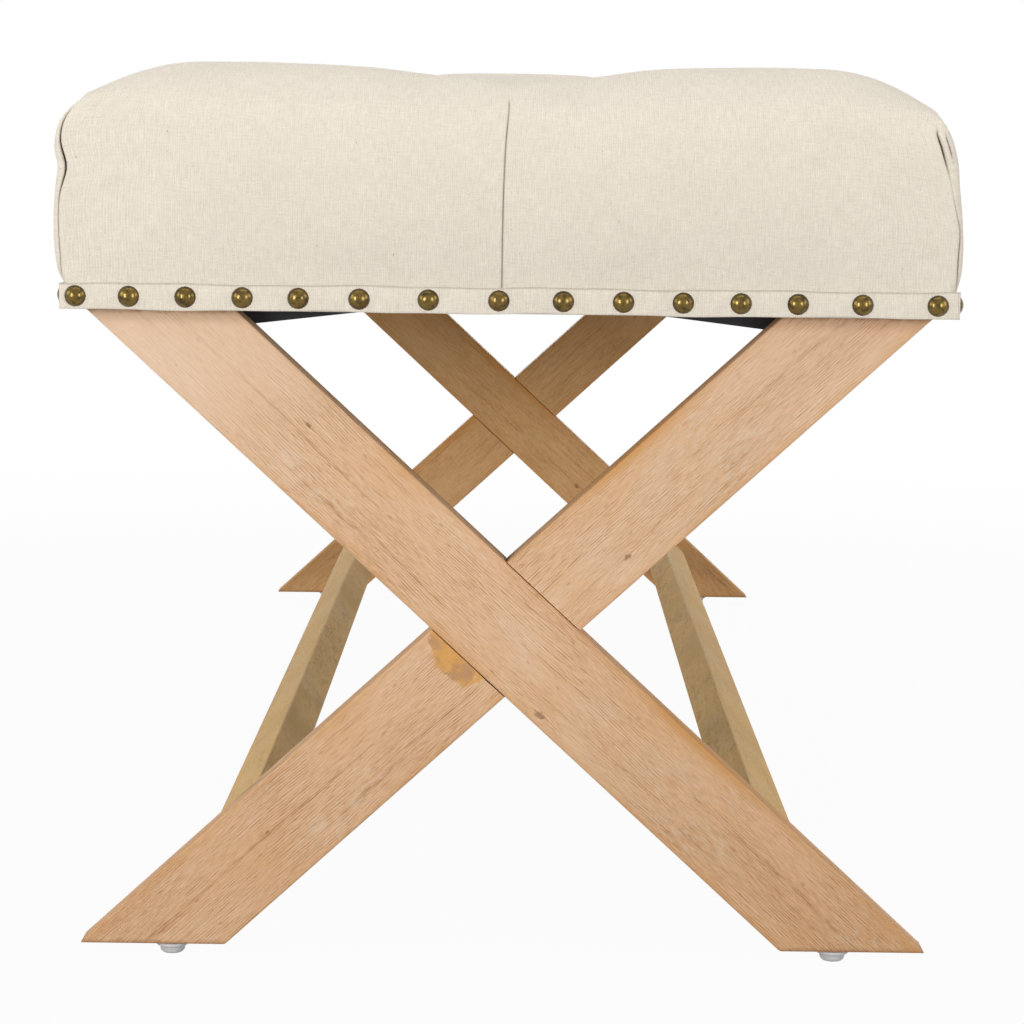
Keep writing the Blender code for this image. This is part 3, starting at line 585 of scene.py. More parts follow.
def board_coordinates(tree, lean, centre):
    """Object coordinates turned about Y so that X runs along a leaning board, from its centre."""
    mapping = tree.nodes.new("ShaderNodeMapping")
    turn = Matrix.Rotation(lean, 3, "Y")
    mapping.inputs["Rotation"].default_value = (0.0, lean, 0.0)
    mapping.inputs["Location"].default_value = -(turn @ centre)
    connect(tree, object_coordinates(tree), mapping.inputs["Vector"])
    return mapping.outputs[0]


def wood_material(name, board, values, marks=None):
    """Brushed wood; board gives the board's coordinates in this material's tree, and marks lays what is
    particular to a board over its colour."""
    material, tree, shader = new_material(name, Specular_IOR_Level=0.3)
    place = board(tree)
    grain = use_group(tree, GRAIN, {"Board": place, **values})
    colour = grain["Colour"] if marks is None else marks(tree, place, grain["Colour"])
    connect(tree, colour, shader.inputs["Base Color"])
    connect(tree, grain["Roughness"], shader.inputs["Roughness"])
    add_bump(tree, shader, grain["Height"], distance=0.35 * MM, strength=0.6)
    return material


# Painted shade on the legs' inner faces: browner, in place of warm light bounced under the seat, and darker
# towards the seat, in place of its shadow
INSIDE_SHADE_TINT = (1.0, 0.88, 0.62, 1.0)
INSIDE_TOP_SHADE_TINT = (0.53, 0.435, 0.255, 1.0)
INSIDE_TOP = (0.080, 0.330)                   # heights between which an inner face darkens
OUTSIDE_EDGE = (-1 * MM, 1 * MM)              # from a board's middle, where its outer half starts
INSIDE_EDGE = (-6 * MM, -8 * MM)              # and where its inner face starts
KNOT_COLOUR = (0.26, 0.135, 0.060, 1.0)
KNOT_EDGE = (1.3, 0.3)                        # knot radii over which its colour grows
KNOT_BEND = (3.6, 0.4)                        # knot radii over which the grain bends aside
KNOT_PULL = -0.62
KNOT_LENGTH = 2.0                             # along the grain, in widths
KNOT_RAGGED = 2.6
KNOT_SHOW = 0.8
LAP_COLOUR = (0.105, 0.054, 0.026, 1.0)
PATCH_COLOURS = ((0.700, 0.335, 0.060, 1.0), (0.460, 0.230, 0.095, 1.0))
LIMED_COLOUR = (0.860, 0.660, 0.500, 1.0)
LIMED_SHARE = {"a": 0.55, "b": 0.20}          # of each of the two crossing boards
LIMED_TOP = (0.110, 0.240)                    # runs up a board between which it grows pale
# Painted shade: outer faces darken towards the foot, where less light falls
FOOT_SHADE_TINT = (0.875, 0.830, 0.760, 1.0)
FOOT_SHADE_SHARE = {"a": 1.0, "b": 0.6}
FOOT_SHADE_RUNS = (-0.060, 0.240)                   # runs down a board between which it darkens
# Painted shadow: a brown line where the band's hem meets the wood. The line along the foot's lower edge is
# dirt
HEM_SHADOW_AND_DIRT_TINT = (0.46, 0.36, 0.26, 1.0)
HEM_SHADOW_AND_DIRT_REACH = 3.5 * MM
HEM_SHADOW_AND_DIRT_SHOW = 0.85
GRIME_AT_FOOT = 0.7                           # beside the line under the hem
FOOT_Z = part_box("leg_front_a")[0].z
LEG_MID_Y = 0.556
LAP_LINE = 0.38 * MM
LAP_EDGE = (1.8, 1.1)                         # in lap lines
LAP_WAVER = 1.6
LAP_OPEN = (0.42, 0.60)                       # levels of the cloud that opens the joint in places
LAP_LEAST = 0.35
PATCH_HALF = (10.5 * MM, 18 * MM)             # of the filler patch, along and across its board
PATCH_EDGE = (1.04, 0.92)                     # in half sizes
PATCH_RAGGED = 1.3
PATCH_MOTTLE = (0.42, 0.64)
PATCH_OPACITY = 0.78

# Each leg: its lean, its knots as places along and across the board with a radius, and its filler patch
LEG_BOARDS = {
    "leg_front_a": (-LEG_ANGLE, ((0.0444, -0.0207, 0.0017), (-0.1502, 0.0084, 0.0010)), None),
    "leg_front_b": (LEG_ANGLE, ((0.0741, -0.0138, 0.0013), (-0.168, 0.004, 0.0008)), (-0.0290, 0.0070)),
    "leg_back_a": (LEG_ANGLE, ((-0.1210, 0.0100, 0.0016), (0.150, -0.006, 0.0011)), None),
    "leg_back_b": (-LEG_ANGLE, ((0.0900, -0.0080, 0.0017), (-0.160, 0.011, 0.0010)), None)}


def knot_distance(tree, along, across, knot_along, knot_across, radius):
    """Distance from a knot in its own radii, where the knot is longer along the grain."""
    return apart(tree, along, across, (knot_along, knot_across), (KNOT_LENGTH * radius, radius))


def bent_round_knots(tree, board, knots):
    """Board coordinates with the grain pushed aside round each knot."""
    along, deep, across = split(tree, board)
    for knot_along, knot_across, radius in knots:
        far = knot_distance(tree, along, across, knot_along, knot_across, radius)
        from_knot = minus(tree, across, knot_across)
        pull = times(tree, ramp(tree, *KNOT_BEND, far), KNOT_PULL)
        across = scaled(tree, from_knot, pull, across)
    return join(tree, along, deep, across)


def add_knots(tree, board, colour, knots):
    """Dark ragged knots over a colour."""
    along, _, across = split(tree, board)
    ragged = minus(tree, noise(tree, board, scale=700.0, detail=3.0), 0.5)
    for knot_along, knot_across, radius in knots:
        far = knot_distance(tree, along, across, knot_along, knot_across, radius)
        core = ramp(tree, *KNOT_EDGE, scaled(tree, ragged, KNOT_RAGGED, far))
        colour = mixed(tree, times(tree, core, KNOT_SHOW), colour, KNOT_COLOUR)
    return colour


def add_lap_lines(tree, colour, lean, outer_mask, outside):
    """Thin dark lines where the other board's edges meet this one: on the outer face of a board that is
    let in from outside, and on the inner face of the other."""
    _, _, across_other = split(tree, board_coordinates(tree, -lean, Vector((0.0, 0.0, LAP_Z))))
    beyond = minus(tree, maths(tree, "ABSOLUTE", across_other), LEG_HALF_WIDTH)
    place = object_coordinates(tree)
    uneven = scaled(tree, noise(tree, place, scale=240.0), LAP_WAVER * LAP_LINE, beyond)
    line = ramp(tree, *(share * LAP_LINE for share in LAP_EDGE), uneven)
    face = outer_mask if outside else minus(tree, 1.0, outer_mask)
    open_joint = ramp(tree, *LAP_OPEN, noise(tree, place, scale=38.0))
    line = times(tree, line, scaled(tree, open_joint, 1.0 - LAP_LEAST, LAP_LEAST))
    return mixed(tree, times(tree, line, face), colour, LAP_COLOUR)


def add_filler_patch(tree, board, colour, centre, outer):
    """A ragged patch of ochre filler with brown mottling beside the lap, on the outer face."""
    along, _, across = split(tree, board)
    far = apart(tree, along, across, centre, PATCH_HALF)
    ragged = noise(tree, board, scale=150.0, detail=3.0, roughness=0.6)
    inside = ramp(tree, *PATCH_EDGE, swing(tree, ragged, PATCH_RAGGED, far))
    mottle = ramp(tree, *PATCH_MOTTLE, noise(tree, board, scale=130.0, detail=4.0, roughness=0.6))
    ochre = mixed(tree, mottle, *PATCH_COLOURS)
    return mixed(tree, times(tree, times(tree, inside, outer), PATCH_OPACITY), colour, ochre)


def add_limed_top(tree, board, colour, lean, strength):
    """Paler, limed wood towards a board's upper end."""
    along = split(tree, board)[0]
    upward = times(tree, along, math.copysign(1.0, lean))
    limed = times(tree, ramp(tree, *LIMED_TOP, upward), strength)
    return mixed(tree, limed, colour, LIMED_COLOUR)


def add_foot_shade(tree, board, colour, lean, outer):
    """Painted shade: outer faces that darken slowly towards the foot, where less light falls."""
    downward = times(tree, split(tree, board)[0], -math.copysign(1.0, lean))
    worn = times(tree, ramp(tree, *FOOT_SHADE_RUNS, downward), outer)
    return mixed(tree, worn, colour, FOOT_SHADE_TINT, "MULTIPLY")


def add_hem_shadow_and_foot_dirt(tree, colour):
    """A painted shadow as a brown line where the band's hem meets the wood, and a brown line of dirt along
    the foot's lower edge."""
    place = object_coordinates(tree)
    height = swing(tree, noise(tree, place, scale=160.0, detail=3.0), HEM_SHADOW_AND_DIRT_REACH, split(tree, place)[2])
    hem_shadow = ramp(tree, HEM_Z - HEM_SHADOW_AND_DIRT_REACH, HEM_Z, height)
    at_foot = ramp(tree, FOOT_Z + HEM_SHADOW_AND_DIRT_REACH, FOOT_Z, height)
    shadow_and_dirt = maths(tree, "MAXIMUM", hem_shadow, times(tree, at_foot, GRIME_AT_FOOT))
    return mixed(tree, times(tree, shadow_and_dirt, HEM_SHADOW_AND_DIRT_SHOW), colour, HEM_SHADOW_AND_DIRT_TINT, "MULTIPLY")


def leg_material(node):
    """A leg board's wood, with the grain along its lean: limed at the top, with painted shade that darkens
    the outer face towards the foot and makes the face towards the bench's middle browner and darker towards
    the seat, and with its knots, a painted shadow under the hem, dirt along the foot's lower edge, lap
    lines and filler patch."""
    lean, knots, patch = LEG_BOARDS[node]
    centre = Vector((0.0, 0.0, LAP_Z))

    def board(tree):
        return bent_round_knots(tree, board_coordinates(tree, lean, centre), knots)

    def marks(tree, place, colour):
        _, along_bench, height = split(tree, object_coordinates(tree))
        from_middle = maths(tree, "ABSOLUTE", along_bench)
        outer = ramp(tree, *(LEG_MID_Y + edge for edge in OUTSIDE_EDGE), from_middle)
        inside = ramp(tree, *(LEG_MID_Y + edge for edge in INSIDE_EDGE), from_middle)
        straight = board_coordinates(tree, lean, centre)
        colour = add_limed_top(tree, straight, colour, lean, LIMED_SHARE[node[-1]])
        # Painted shade: the outer face darkens towards the foot
        worn = times(tree, outer, FOOT_SHADE_SHARE[node[-1]])
        colour = add_foot_shade(tree, straight, colour, lean, worn)
        # knots, then a painted shadow under the hem and dirt along the foot
        colour = add_hem_shadow_and_foot_dirt(tree, add_knots(tree, straight, colour, knots))
        if patch is not None:
            colour = add_filler_patch(tree, straight, colour, patch, outer)
        colour = add_lap_lines(tree, colour, lean, outer, outside=node.endswith("_b"))
        # Painted shade: the inner face browner, and darker towards the seat
        inner_shade = mixed(tree, ramp(tree, *INSIDE_TOP, height), INSIDE_SHADE_TINT, INSIDE_TOP_SHADE_TINT)
        return mixed(tree, inside, colour, inner_shade, "MULTIPLY")

    return wood_material(node.replace("_", " ") + " wood", board, {"Half width": LEG_HALF_WIDTH}, marks)


STRETCHER_WOOD = {"Pale": (0.90, 0.64, 0.290, 1.0), "Body": (0.82, 0.51, 0.185, 1.0),
                  "Dark": (0.47, 0.28, 0.105, 1.0), "Arris": (0.70, 0.43, 0.15, 1.0), "Lime": 0.3}
RAIL_WOOD = {"Pale": (0.70, 0.55, 0.36, 1.0), "Body": (0.62, 0.47, 0.29, 1.0),
             "Dark": (0.42, 0.29, 0.16, 1.0)}
PLY_WOOD = {"Pale": (0.74, 0.60, 0.41, 1.0), "Body": (0.66, 0.51, 0.32, 1.0),
            "Dark": (0.46, 0.33, 0.19, 1.0)}
# Two tones of each plain finish
BRASS_TONES = ((0.022, 0.014, 0.005, 1.0), (0.165, 0.106, 0.021, 1.0))
PAINT_TONES = ((0.006, 0.006, 0.007, 1.0), (0.030, 0.030, 0.033, 1.0))
BLACK_CLOTH_TONES = ((0.008, 0.008, 0.009, 1.0), (0.035, 0.034, 0.034, 1.0))
PLASTIC_TONES = ((0.50, 0.50, 0.51, 1.0), (0.74, 0.74, 0.75, 1.0))
STEEL_TONES = ((0.45, 0.45, 0.46, 1.0), (0.66, 0.66, 0.68, 1.0))
BRASS_WORN = (0.20, 0.62)                     # levels of the blotches between which the crown is worn
BRASS_ROUGHNESS = (0.14, 0.18)                # what a blotch adds, and the least
PAINT_STREAKS = (14.0, 220.0, 220.0)          # per metre along each axis
PRESSED_DOTS = 420.0                          # per metre of the black cloth
PRESSED_EDGE = (0.35, 0.15)


def stretcher_material(name, side):
    """A stretcher's yellower wood, with the grain along Y."""
    centre = Vector((side * STRETCHER_CENTRE[0], 0.0, STRETCHER_CENTRE[1]))

    def board(tree):
        x, y, z = split(tree, board_coordinates(tree, -side * LEG_ANGLE, centre))
        return join(tree, y, z, x)

    return wood_material(name, board, {"Half width": STRETCHER_HALF_WIDTH, **STRETCHER_WOOD})


def plain_wood_material(name, wood, along="Y"):
    """Unbrushed inside wood, with the grain along one axis of the bench."""
    def board(tree):
        x, y, z = split(tree, object_coordinates(tree))
        return join(tree, y, x, z) if along == "Y" else join(tree, x, y, z)

    return wood_material(name, board, {"Half width": 1.0, "Lime": 0.2, **wood})


def two_toned(tree, shader, pattern, tones, roughness):
    """Gives a shader two tones mixed by a pattern, and a roughness that the pattern raises from a least."""
    rise, least = roughness
    connect(tree, mixed(tree, pattern, *tones), shader.inputs["Base Color"])
    connect(tree, scaled(tree, pattern, rise, least), shader.inputs["Roughness"])


def brass_material():
    """Antique brass under lacquer: worn crown, brown patina in blotches and round the rim."""
    material, tree, shader = new_material("antique brass", Metallic=1.0, Coat_Weight=0.35,
                                          Coat_Roughness=0.12)
    place = object_coordinates(tree)
    blotch = noise(tree, place, scale=330.0, detail=3.0, roughness=0.6)
    worn = times(tree, point_value(tree, "crown"), ramp(tree, *BRASS_WORN, blotch))
    connect(tree, mixed(tree, worn, *BRASS_TONES), shader.inputs["Base Color"])
    connect(tree, scaled(tree, blotch, *BRASS_ROUGHNESS), shader.inputs["Roughness"])
    add_bump(tree, shader, noise(tree, place, scale=900.0), distance=0.03 * MM, strength=0.5)
    return material


def black_paint_material():
    """Thin black paint over wood, dull and a little streaked along the rail."""
    material, tree, shader = new_material("black paint", Specular_IOR_Level=0.35)
    streak = streaky(tree, object_coordinates(tree), PAINT_STREAKS, detail=3.0)
    two_toned(tree, shader, streak, PAINT_TONES, roughness=(0.25, 0.42))
    add_bump(tree, shader, streak, distance=0.15 * MM)
    return material


def black_cloth_material():
    """Bonded black cloth: short fibres in all directions and a fine dotted pressing."""
    material, tree, shader = new_material("black cloth", Roughness=0.95, Specular_IOR_Level=0.15)
    place = object_coordinates(tree)
    fibre = noise(tree, place, scale=650.0, detail=4.0, roughness=0.7)
    dots = tree.nodes.new("ShaderNodeTexVoronoi")
    connect(tree, place, dots.inputs["Vector"])
    dots.inputs["Scale"].default_value = PRESSED_DOTS
    dots.inputs["Randomness"].default_value = 0.15
    pressed = ramp(tree, *PRESSED_EDGE, dots.outputs["Distance"])
    connect(tree, mixed(tree, fibre, *BLACK_CLOTH_TONES), shader.inputs["Base Color"])
    add_bump(tree, shader, minus(tree, fibre, pressed), distance=0.2 * MM)
    return material


def plastic_material():
    """Satin grey-white plastic, scuffed a little."""
    material, tree, shader = new_material("glide plastic", Specular_IOR_Level=0.4)
    scuff = noise(tree, object_coordinates(tree), scale=420.0, detail=4.0, roughness=0.65)
    two_toned(tree, shader, scuff, PLASTIC_TONES, roughness=(0.3, 0.28))
    add_bump(tree, shader, scuff, distance=0.05 * MM)
    return material


def steel_material():
    """Zinc-plated steel with a fine turned finish."""
    material, tree, shader = new_material("bolt steel", Metallic=1.0)
    turned = noise(tree, object_coordinates(tree), scale=700.0, detail=3.0)
    two_toned(tree, shader, turned, STEEL_TONES, roughness=(0.2, 0.25))
    return material


# Seat cover

def tuft_places():
    """Button places: single ones on the middle line, and pairs half way between them."""
    places = []
    for column in range(TUFT_COLUMNS):
        y = (column - (TUFT_COLUMNS - 1) / 2) * TUFT_PITCH
        rows = (0.0,) if column % 2 == 0 else (-TUFT_ROW_OFFSET, TUFT_ROW_OFFSET)
        places.append([(x, y) for x in rows])
    return places


TUFTS = tuft_places()
TUFT_POINTS = np.array([place for column in TUFTS for place in column])
SIDE_PLEATS = sorted({place[1] for column in TUFTS for place in column if place[0] > 0})


def pleat_lines():
    """Pleats run from each button to the next column's, from the end buttons to the ends and from
    the outer buttons straight out to the sides."""
    lines = []
    for column, following in zip(TUFTS, TUFTS[1:]):
        lines += [(start, end) for start in column for end in following]
    for column, end in ((TUFTS[0], -COVER_HALF[1]), (TUFTS[-1], COVER_HALF[1])):
        lines += [(place, (place[0], end)) for place in column]
    for x, y in TUFT_POINTS[TUFT_POINTS[:, 0] != 0.0]:
        lines.append(((x, y), (math.copysign(COVER_HALF[0], x), y)))
    return lines


def distance_to_line(x, y, line):
    """Distance from points to a straight line between two ends."""
    (x0, y0), (x1, y1) = line
    run_x, run_y = x1 - x0, y1 - y0
    share = np.clip(((x - x0) * run_x + (y - y0) * run_y) / (run_x ** 2 + run_y ** 2), 0.0, 1.0)
    return np.hypot(x - x0 - share * run_x, y - y0 - share * run_y)


PLEATS = pleat_lines()
PROUD_LIFT = 5 * MM           # height that a proud corner has over a round one
PROUD_REACH = 40 * MM


def shoulder(inside):
    """Share of the shoulder's fall: a parabola that starts level where the crown ends."""
    return np.clip(1.0 - inside / SHOULDER_RUN, 0.0, 1.0) ** 2


def crown_height(x, y):
    """Height of the stuffed top without its tufts: the crown, less the fall of the shoulders towards the
    sides, with a bell added at the two proud corners and one taken off for each dent."""
    fall_x = shoulder(COVER_HALF[0] - np.abs(x))
    fall_y = shoulder(COVER_HALF[1] - np.abs(y))
    height = CROWN_Z - SHOULDER_DROP * (fall_x + fall_y - (1 - CORNER_SOFTENING) * fall_x * fall_y)
    for side in (-1, 1):
        from_corner = np.hypot(x - side * EDGE_HALF[0], y - side * EDGE_HALF[1])
        height = height + PROUD_LIFT * np.exp(-(from_corner / PROUD_REACH) ** 2)
        for dent_x, depth in END_DENTS:
            run = (x + side * dent_x) / DENT_REACH[0]
            rise = (y - side * DENT_Y) / DENT_REACH[1]
            height = height - depth * np.exp(-run ** 2 - rise ** 2)
    return height


def top_height(x, y, sewn=True):
    """Height of the seat's top: the stuffed shape, less a pit that fades exponentially round each button
    and less soft pleats, and where it is sewn with a sharper line in each pleat and small folds gathered
    round each button."""
    x, y = np.broadcast_arrays(x, y)
    offsets = [(x - tuft_x, y - tuft_y) for tuft_x, tuft_y in TUFT_POINTS]
    spans = np.stack([np.hypot(*offset) for offset in offsets])
    span = spans.min(axis=0)
    pleat = np.min([distance_to_line(x, y, line) for line in PLEATS], axis=0)
    from_end = smooth_step(0.0, END_FADE, COVER_HALF[1] - np.abs(y))
    from_edge = np.minimum(from_end, smooth_step(0.0, PLEAT_EDGE_FADE, COVER_HALF[0] - np.abs(x)))
    open_pleat = (1.0 - np.exp(-span / PLEAT_START)) * from_edge
    height = crown_height(x, y) - TUFT_DEPTH * np.exp(-span / TUFT_REACH) * from_end
    height = height - PLEAT_DEPTH * np.exp(-(pleat / PLEAT_REACH) ** 2) * open_pleat
    if not sewn:
        return height
    valley = np.exp(-(pleat / VALLEY_REACH) ** 2) * np.exp(-span / VALLEY_FADE)
    height = height - VALLEY_DEPTH * valley * from_edge
    nearest = spans.argmin(axis=0)
    bearings = np.stack([np.arctan2(dy, dx) for dx, dy in offsets])
    bearing = np.take_along_axis(bearings, nearest[None], 0)[0]
    gather = np.cos(GATHERS * bearing + GATHER_TURN * nearest) * np.exp(-span / GATHER_REACH)
    return height + GATHER_DEPTH * gather * (1.0 - np.exp(-(span / GATHER_START) ** 2))


# Heights and stand-out of the sides, in metres: at the middle of a long side, of an end, and at the
# two kinds of corner fold, a proud one and a round one
SIDE_BULGE = ((0.3618, 0.3680, 0.3820, 0.3980, 0.4150, 0.4300, 0.4500),
              (0.0003, 0.0020, 0.0033, 0.0030, 0.0022, 0.0020, 0.0012))
END_BULGE = ((0.3618, 0.3680, 0.3850, 0.4100, 0.4300, 0.4500),
             (0.0003, 0.0010, 0.0022, 0.0028, 0.0022, 0.0010))
CORNER_OUT = {1: ((0.3618, 0.3670, 0.3780, 0.3960, 0.4110, 0.4220, 0.4290, 0.4367, 0.4444, 0.4490),
                  (0.0003, 0.0026, 0.0042, 0.0045, 0.0034, 0.0026, 0.0040, 0.0034, 0.0012, -0.0022)),
              -1: ((0.3618, 0.3670, 0.3826, 0.3980, 0.4135, 0.4260, 0.4350, 0.4450),
                   (0.0003, 0.0017, 0.0028, 0.0019, 0.0003, -0.0007, -0.0025, -0.0059))}
CORNER_FOLD = {1: ((0.3483, 0.3730, 0.3960, 0.4064, 0.4206, 0.4350, 0.4457),
                   (0.0000, -0.0008, -0.0015, -0.0008, 0.0029, -0.0004, 0.0017)),
               -1: ((0.3483, 0.3780, 0.3960, 0.4010, 0.4188, 0.4338, 0.4449),
                    (0.0001, 0.0001, 0.0002, 0.0016, 0.0058, 0.0100, 0.0124))}
CORNER_Z = {kind: float(top_height(-kind * EDGE_HALF[0], -EDGE_HALF[1], sewn=False)) for kind in (1, -1)}
CORNER_ROUND = 6 * MM
CORNER_SHARP = 0.5 * MM       # radius of a corner at the top, which grows over a run below it
CORNER_SHARP_RUN = 12 * MM
ARC_LIMIT = 0.97              # largest cosine of the angle where a fold sits in a corner's arc
CORNER_BLEND = 60 * MM        # how far a corner's shape runs along the side
FOLD_BLEND = 45 * MM          # how far the cloth is drawn towards a corner fold
FOLD_GAP = 0.25 * MM
FOLD_TUCK = 2.0 * MM
CLOSED_LIP = 0.25             # share of its lip that a fold keeps where it is closed
FOLD_SHADE = (0.26 * MM, 0.42 * MM)           # way over which shade fades, and up to which it is full
END_LIP = 1.2 * MM
SIDE_LIP = 2.0 * MM
FINE_STEPS = np.array((0.0, 0.25, 0.36, 0.6, 1.0, 1.6, 2.4, 3.6)) * MM
END_STEPS = np.array((0.0, 0.25, 0.45, 0.7, 1.0, 1.6, 2.4, 3.4, 3.9, 4.2, 4.5, 4.8, 5.3)) * MM
# How far the fold of a proud corner and of a round one stands open, by height
PROUD_FOLD_OPEN = ((0.3483, 0.3900, 0.4040, 0.4130, 0.4206, 0.4450, 0.4500),
                   (0.26, 0.26, 0.34, 0.75, 1.00, 1.00, 0.70))
ROUND_FOLD_OPEN = ((0.3483, 0.3900, 0.4000, 0.4220, 0.4320, 0.4420, 0.4500),
                   (0.36, 0.36, 0.16, 0.10, 0.62, 0.66, 0.40))
PUCKER_PLACE = 4.35 * MM                      # short second fold beside a round corner's fold
PUCKER_HALF_WIDTH = 0.42 * MM
PUCKER_DEPTH = 0.9 * MM
PUCKER_SHADE = 0.75
PUCKER_HEIGHTS = (0.4280, 0.4320, 0.4400, 0.4440)
FOLD_START = (5 * MM, 12 * MM)                # below the top's corner, where a fold opens
PLEAT_GROOVE = 1.0 * MM
PLEAT_HALF_WIDTH = 0.36 * MM
PLEAT_TOP = (0.461, 0.453)                    # heights between which a sewn pleat opens
PLEAT_SHADE = (0.26 * MM, 0.10 * MM)          # as for a fold
# Strength of the painted shade along a sewn pleat
PLEAT_DARKNESS = 0.52
# Drift of the middle pleat on the ends as it goes down
PLEAT_DRIFT = ((0.3640, 0.3960, 0.4160, 0.4415, 0.4540), (-0.0039, -0.0037, -0.0034, -0.0025, -0.0015))
DRIFT_REACH = 50 * MM                         # of that drift across an end
DRIFT_OVER_EDGE = 30 * MM                     # and on over the top's edge
PLEAT_OVER_EDGE = (0 * MM, 3 * MM)            # how far the sewn pleat of an end runs on over the top


def spaced_lines(half, step, fine_places):
    """Places from -half to half about a step apart, and much closer at fine places and at the ends."""
    coarse = np.linspace(-half, half, 2 * round(half / step) + 1)
    if fine_places is None:
        return coarse
    found = [coarse]
    for marks, steps in ((np.array(fine_places), FINE_STEPS), (np.array((-half, half)), END_STEPS)):
        reach = steps[-1] + 0.5 * step
        found[0] = found[0][np.abs(found[0][:, None] - marks[None, :]).min(axis=1) > reach]
        found.append((marks[:, None] + np.concatenate([-steps[1:], steps])[None, :]).ravel())
    places = np.concatenate(found)
    return np.unique(np.round(places[np.abs(places) <= half + 1e-9], 7))


def stand_out(below_edge, height, bulge):
    """How far a side stands out from the cover's half size: it turns over the edge along a cubic and
    follows the bulge below."""
    turn = 1.0 - (1.0 - np.clip(below_edge / EDGE_TURN, 0.0, 1.0)) ** 3
    return -EDGE_INSET + (EDGE_INSET + curve_through(*bulge, height)) * turn


def corner_curve(table, kind, height, at_edge):
    """A corner's curve over height, brought to its value at the top's corner."""
    found = {}
    for each in (1, -1):
        knots = (*table[each][0], CORNER_Z[each])
        found[each] = curve_through(knots, (*table[each][1], at_edge), height)
    return np.where(kind > 0, found[1], found[-1])


def round_corner(run, reach_x, reach_y, radius):
    """Point and outward direction on a rounded corner, at a run from where its arc leaves the long
    side: straight before, a quarter circle, and straight along the end after it."""
    angle = np.clip(run / radius, 0.0, math.pi / 2)
    before = np.minimum(run, 0.0)
    after = np.maximum(run - radius * math.pi / 2, 0.0)
    x = reach_x - radius + radius * np.cos(angle) - after
    y = reach_y - radius + radius * np.sin(angle) + before
    return x, y, np.cos(angle), np.sin(angle)


def corner_values(kind, height):
    """Stand-out, arc radius and fold's run of a corner at given heights, and their depth below its top."""
    out_x = corner_curve(CORNER_OUT, kind, height, -EDGE_INSET)
    inset = corner_curve(CORNER_FOLD, kind, height, EDGE_INSET)
    corner_z = np.where(kind > 0, CORNER_Z[1], CORNER_Z[-1])
    below = np.maximum(corner_z - height, 0.0)
    radius = CORNER_SHARP + (CORNER_ROUND - CORNER_SHARP) * smooth_step(0.0, CORNER_SHARP_RUN, below)
    from_centre = -inset - out_x + radius
    in_arc = np.clip(from_centre / radius, 0.0, ARC_LIMIT)
    past_arc = np.maximum(-from_centre, 0.0)
    fold_run = radius * np.arccos(in_arc) + past_arc
    return out_x, radius, fold_run, below


def lip(gap, radius):
    """Depth of a rolled edge at a distance from its fold: a quarter circle, then a tuck."""
    inside = np.clip(1.0 - (gap - FOLD_GAP) / radius, 0.0, 1.0)
    tuck = FOLD_TUCK * np.clip(1.0 - gap / FOLD_GAP, 0.0, 1.0)
    return radius * (1.0 - np.sqrt(1.0 - inside ** 2)) + tuck


def groove(gap):
    """Depth of a sewn pleat at a distance from its line: a narrow bell."""
    return PLEAT_GROOVE * np.exp(-(gap / PLEAT_HALF_WIDTH) ** 2)


def fold_shade(gap, reach, full):
    """Share of shade near a fold line: full in the gap, then fading exponentially."""
    return np.exp(-np.maximum(gap - full, 0.0) / reach)


def fold_openness(kind, height):
    """How far a corner fold stands open, by height: a proud corner's mostly in its upper half, and a round
    one's near the top and near the band."""
    proud, rounded = (curve_through(*table, height) for table in (PROUD_FOLD_OPEN, ROUND_FOLD_OPEN))
    return np.where(kind > 0, proud, rounded)


def pucker(kind, gap, height):
    """Share of the short second fold beside a round corner's fold: a narrow bell across it, between two
    heights."""
    low, full_low, full_high, high = PUCKER_HEIGHTS
    window = smooth_step(low, full_low, height) * smooth_step(high, full_high, height)
    return np.where(kind > 0, 0.0, window * np.exp(-((gap - PUCKER_PLACE) / PUCKER_HALF_WIDTH) ** 2))


def fold_in(kind, gap, radius, from_pleat, height, below):
    """How deep the cloth goes in, and its share of shade, at distances from a corner's fold, whose lip has
    a radius, and from a sewn pleat."""
    started = smooth_step(*FOLD_START, below)
    opened = fold_openness(kind, height) * started
    pleat_open = smooth_step(*PLEAT_TOP, height)
    rolled = lip(gap, radius) * (CLOSED_LIP * started + (1.0 - CLOSED_LIP) * opened)
    pleat_shade = PLEAT_DARKNESS * fold_shade(from_pleat, *PLEAT_SHADE) * pleat_open
    shade = np.maximum(fold_shade(gap, *FOLD_SHADE) * opened, pleat_shade)
    return rolled + groove(from_pleat) * pleat_open, shade


def end_side(across, levels, end, sewn):
    """One end of the cover. Columns follow the cloth down from the top's edge; near the corners they
    are drawn to the fold and rolled into it, and at the middle they dip into the sewn pleat."""
    edge_z = top_height(across, end * EDGE_HALF[1], sewn)[:, None]
    height = edge_z + (HEM_Z - edge_z) * levels[None, :]
    column = np.abs(across)[:, None] + 0.0 * height
    side = np.sign(across)[:, None]
    out_x, radius, fold_run, below = corner_values(side * end, height)
    reach_x = COVER_HALF[0] + out_x
    reach_y = COVER_HALF[1] + stand_out(edge_z - height, height, END_BULGE)
    quarter = radius * math.pi / 2
    last_run = quarter + reach_x - radius - EDGE_HALF[0]
    drawn = smooth_step(EDGE_HALF[0] - FOLD_BLEND, EDGE_HALF[0], column)
    run = quarter + reach_x - radius - column + (fold_run - last_run) * drawn
    x, y, out_dx, out_dy = round_corner(run, reach_x, reach_y, radius)
    shade = np.zeros_like(height)
    drift = 0.0
    if sewn:
        gap = np.maximum(run - fold_run, 0.0)
        inward, shade = fold_in(side * end, gap, END_LIP, column, height, below)
        x, y = x - out_dx * inward, y - out_dy * inward
        drift = -end * curve_through(*PLEAT_DRIFT, height) * np.exp(-(column / DRIFT_REACH) ** 2)
    cloth = np.stack([across[:, None] + 0.0 * height, end * (EDGE_HALF[1] + edge_z - height)], axis=2)
    return np.stack([side * x + drift, end * y, height], axis=2), cloth, shade


